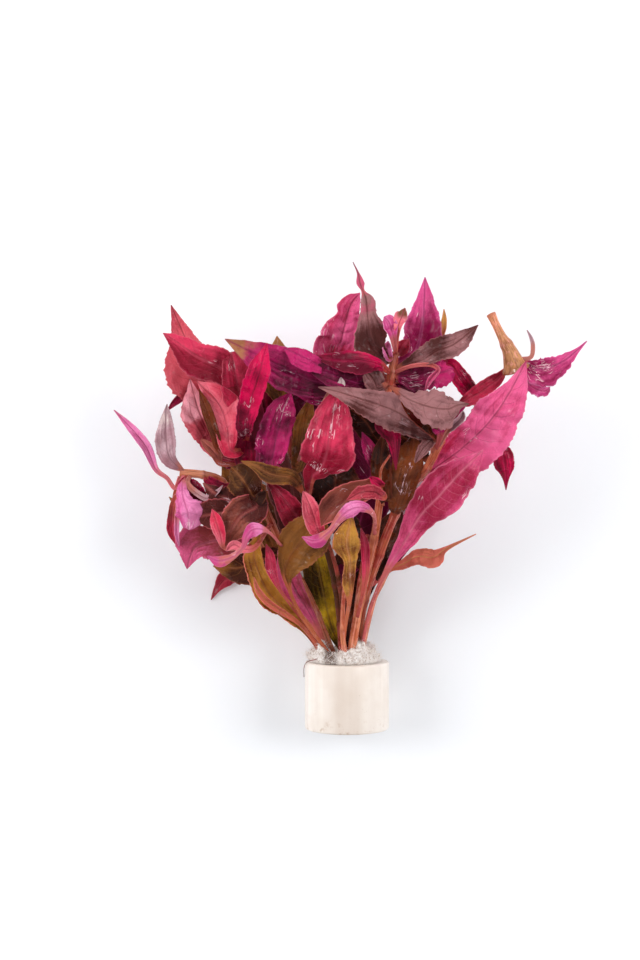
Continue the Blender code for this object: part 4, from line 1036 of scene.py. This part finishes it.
# Its tones and its ageing turn its base end near-black: painted shade in the gap under the bunch.
leaf("lower_brown", "olive", (-0.8, -0.8, -0.2, 0.9), [
    ("left", 0.36), (274, 555, 22, 3), (256, 563, 22, 7, 5), (236, 568, 20, 5.6, 4.6), (213, 566, 17)],
    curl=12, age=(1, 1, 0.9, 0))
leaf("low_left_leaf", "olive", (-0.2, 0.3), [
    ("side", 0.27), (280, 570, 2.5, 3), (268, 535, 1.1, 8), (244, 495, 0.9, 9, 8), (222, 458, 0.6)],
    curl=5, wave=0.3)
leaf("low_middle_leaf", "umber", (-0.3, 0.0), [
    ("left", 0.3), (290, 564, 9, 1.5), (296, 530, 7, 6), (291, 480, 9, 9), (285, 425, 9, 9, 8),
    (264, 383, 7)], curl=5, wave=0.3)
leaf("low_centre_leaf", "wine", (-0.3, 0.0), [
    ("left_centre", 0.3), (352, 550, 12, 6), (370, 480, 12, 10), (372, 420, 12, 8), (368, 372, 10)],
    curl=5, wave=0.3)
leaf("low_right_leaf", "crimson", (-0.3, 0.2), [
    ("right", 0.2), (390, 565, 3, 3, 2), (426, 510, 0.9, 7, 3.5), (463, 465, 0.7, 6, 5),
    (496, 425, 0.5)], curl=5, wave=0.3)
leaf("under_purple", "wine", (-0.4, -0.2), [
    ("left_centre", 0.78), (300, 440, 33, 6), (303, 415, 32, 9), (306, 383, 30)], wave=0.3)
leaf("under_left", "crimson", (-0.4, -0.2), [
    ("left_centre", 0.9), (274, 430, 36, 5), (267, 407, 36, 7, 6), (262, 380, 35)], wave=0.3)
leaf("under_stem_tip", "wine", (-0.4, 0.0), [
    ("centre", 0.74), (398, 398, 43, 4), (408, 386, 43, 6), (420, 372, 42)], wave=0.3)
leaf("under_wet_brown", "bark", (-0.2, 0.2), [
    ("right", 0.86), (418, 446, 44, 4), (405, 438, 44, 6), (388, 428, 43)], wave=0.3)
leaf("under_crimson", "bark", (-0.1, 0.2), [
    ("centre", 0.3), (358, 540, 28, 3), (343, 522, 27, 5), (332, 500, 26)], wave=0.3)

# Leaves that grow out of the wool
# Long-stalked blades in olive, tan, rose and brown, which hide the stems' lower halves. No stem carries them:
# their stalks are pushed into the wool between the stems.
leaf("boat_leaf", "tan", (0.5, 0.9, 0.9, 0.7, 0.8), [
    (328, 664, 15), (308, 633, 19, 1.6), (286, 611, 25, 3.6, 4), (268, 592, 31, 6.2, 5.2),
    (257, 568, 38, 5.8, 3.4), (254, 551, 41, 4.8, 3.8), (260, 533, 43)], fold=25, curl=25, rolled=(80, 0))
leaf("boat_rim", "tan", (0.6, 0.8), [
    (326, 658, 16, 0.5), (313, 640, 20, 0.5), (300, 624, 24.3, 0.9), (284, 613, 28.6, 1.3),
    (268, 602, 35.6, 1.5), (258, 590, 38.6, 1.3), (254, 577, 40.5)], fold=20, curl=40, wave=0.3, age=(1, 1))
leaf("broad_brown_leaf", "olive", (0.7, 0.8, 0.6, 0.2), [
    (337, 664, 20.5), (303, 618, 27, 0.7), (289, 588, 33, 0.8, 0.9), (285, 568, 36, 2, 5),
    (296, 548, 38, 7, 8), (312, 530, 41, 7, 8), (325, 512, 42)], wave=0.5)
leaf("narrow_crimson_leaf", "ruby", (0.7, 0.9, 0.4, 0.2), [
    (334, 664, 16), (318, 641, 19, 0.5), (302, 620, 24, 0.45), (289, 603, 29.5, 0.45), (279, 588, 37, 0.7),
    (272, 571, 45, 1.8), (270, 556, 46, 1.6), (266, 544, 44)], wave=0.2)
leaf("mauve_leaf", "mauve", (0.4, 0.7, 0.8), [
    (331, 664, 17), (318, 630, 20, 1, 1.2), (307, 609, 23, 2.4, 2), (295, 589, 26, 4.8, 3.4),
    (286, 568, 28, 3.5, 4), (278, 550, 28)], sides=-0.3)
# Two dark straps between the stems: painted shade in the gaps among them.
leaf("dark_strap", "bark", (0.3, 0.0, 0.4), [
    (352, 664, 9), (350, 636, 11, 2.4), (350, 600, 13, 4.6, 4), (354, 565, 15, 8, 5), (360, 525, 15)],
    wave=0.3)
leaf("right_strap", "bark", (0.3, 0.0, 0.4), [
    (356, 664, 11), (360, 630, 13, 1.2), (366, 595, 14, 2, 1.6), (378, 560, 16, 4), (390, 530, 16, 5),
    (402, 505, 15)], wave=0.3)
leaf("green_leaf", "green", (0.6, 0.8, 0.4, 0.0), [
    (350, 664, 8.5), (333, 630, 10, 2.5, 2.2), (326, 605, 11, 5.8, 5), (321, 582, 12, 6.5, 6),
    (316, 555, 13, 4.5), (312, 535, 13)], sides=0.35, age=(0, 0, 0, 0.3, 0.6))
leaf("tan_centre_leaf", "tan", (0.3, 0.4, 0.6, 0.45), [
    (341, 664, 22.5), (345, 628, 28), (349, 603, 34, 0.8), (350, 580, 40, 2.8, 1.6),
    (350, 560, 45, 2.2, 2.4), (347, 541, 49, 5, 4.6), (352, 514, 52)], fold=10, wave=0.5)
leaf("big_lower_leaf", "rosy", (0.8, 0.8, 0.9, 0.8, 0.1, 0.05, 0.5, 0.2, 0.9), [
    (358, 664, 19), (371, 607, 28, 0.6), (386, 572, 37, 1.0), (404, 543, 44, 2.9, 2.8), (421, 515, 48, 5.4),
    (440, 495, 52, 7.6), (457, 476, 54, 6.3, 6.8), (470, 463, 55, 3, 4.2), (483, 450, 55)], fold=6, curl=8,
    wave=1.0)
leaf("tendril_leaf", "tan", (0.1, 0.4, 0.9), [
    (360, 664, 14), (373, 605, 20, 0.7), (386, 573, 26, 0.8), (403, 564, 29, 1.6, 2), (417, 557, 31, 2.6, 3),
    (434, 557, 32, 2.8, 4), (446, 549, 32, 1), (476, 534, 30)], roll=(0, 30), fold=10, wave=0.5,
    age=(0.6, 0.7, 0.9, 0.9, 0.9))
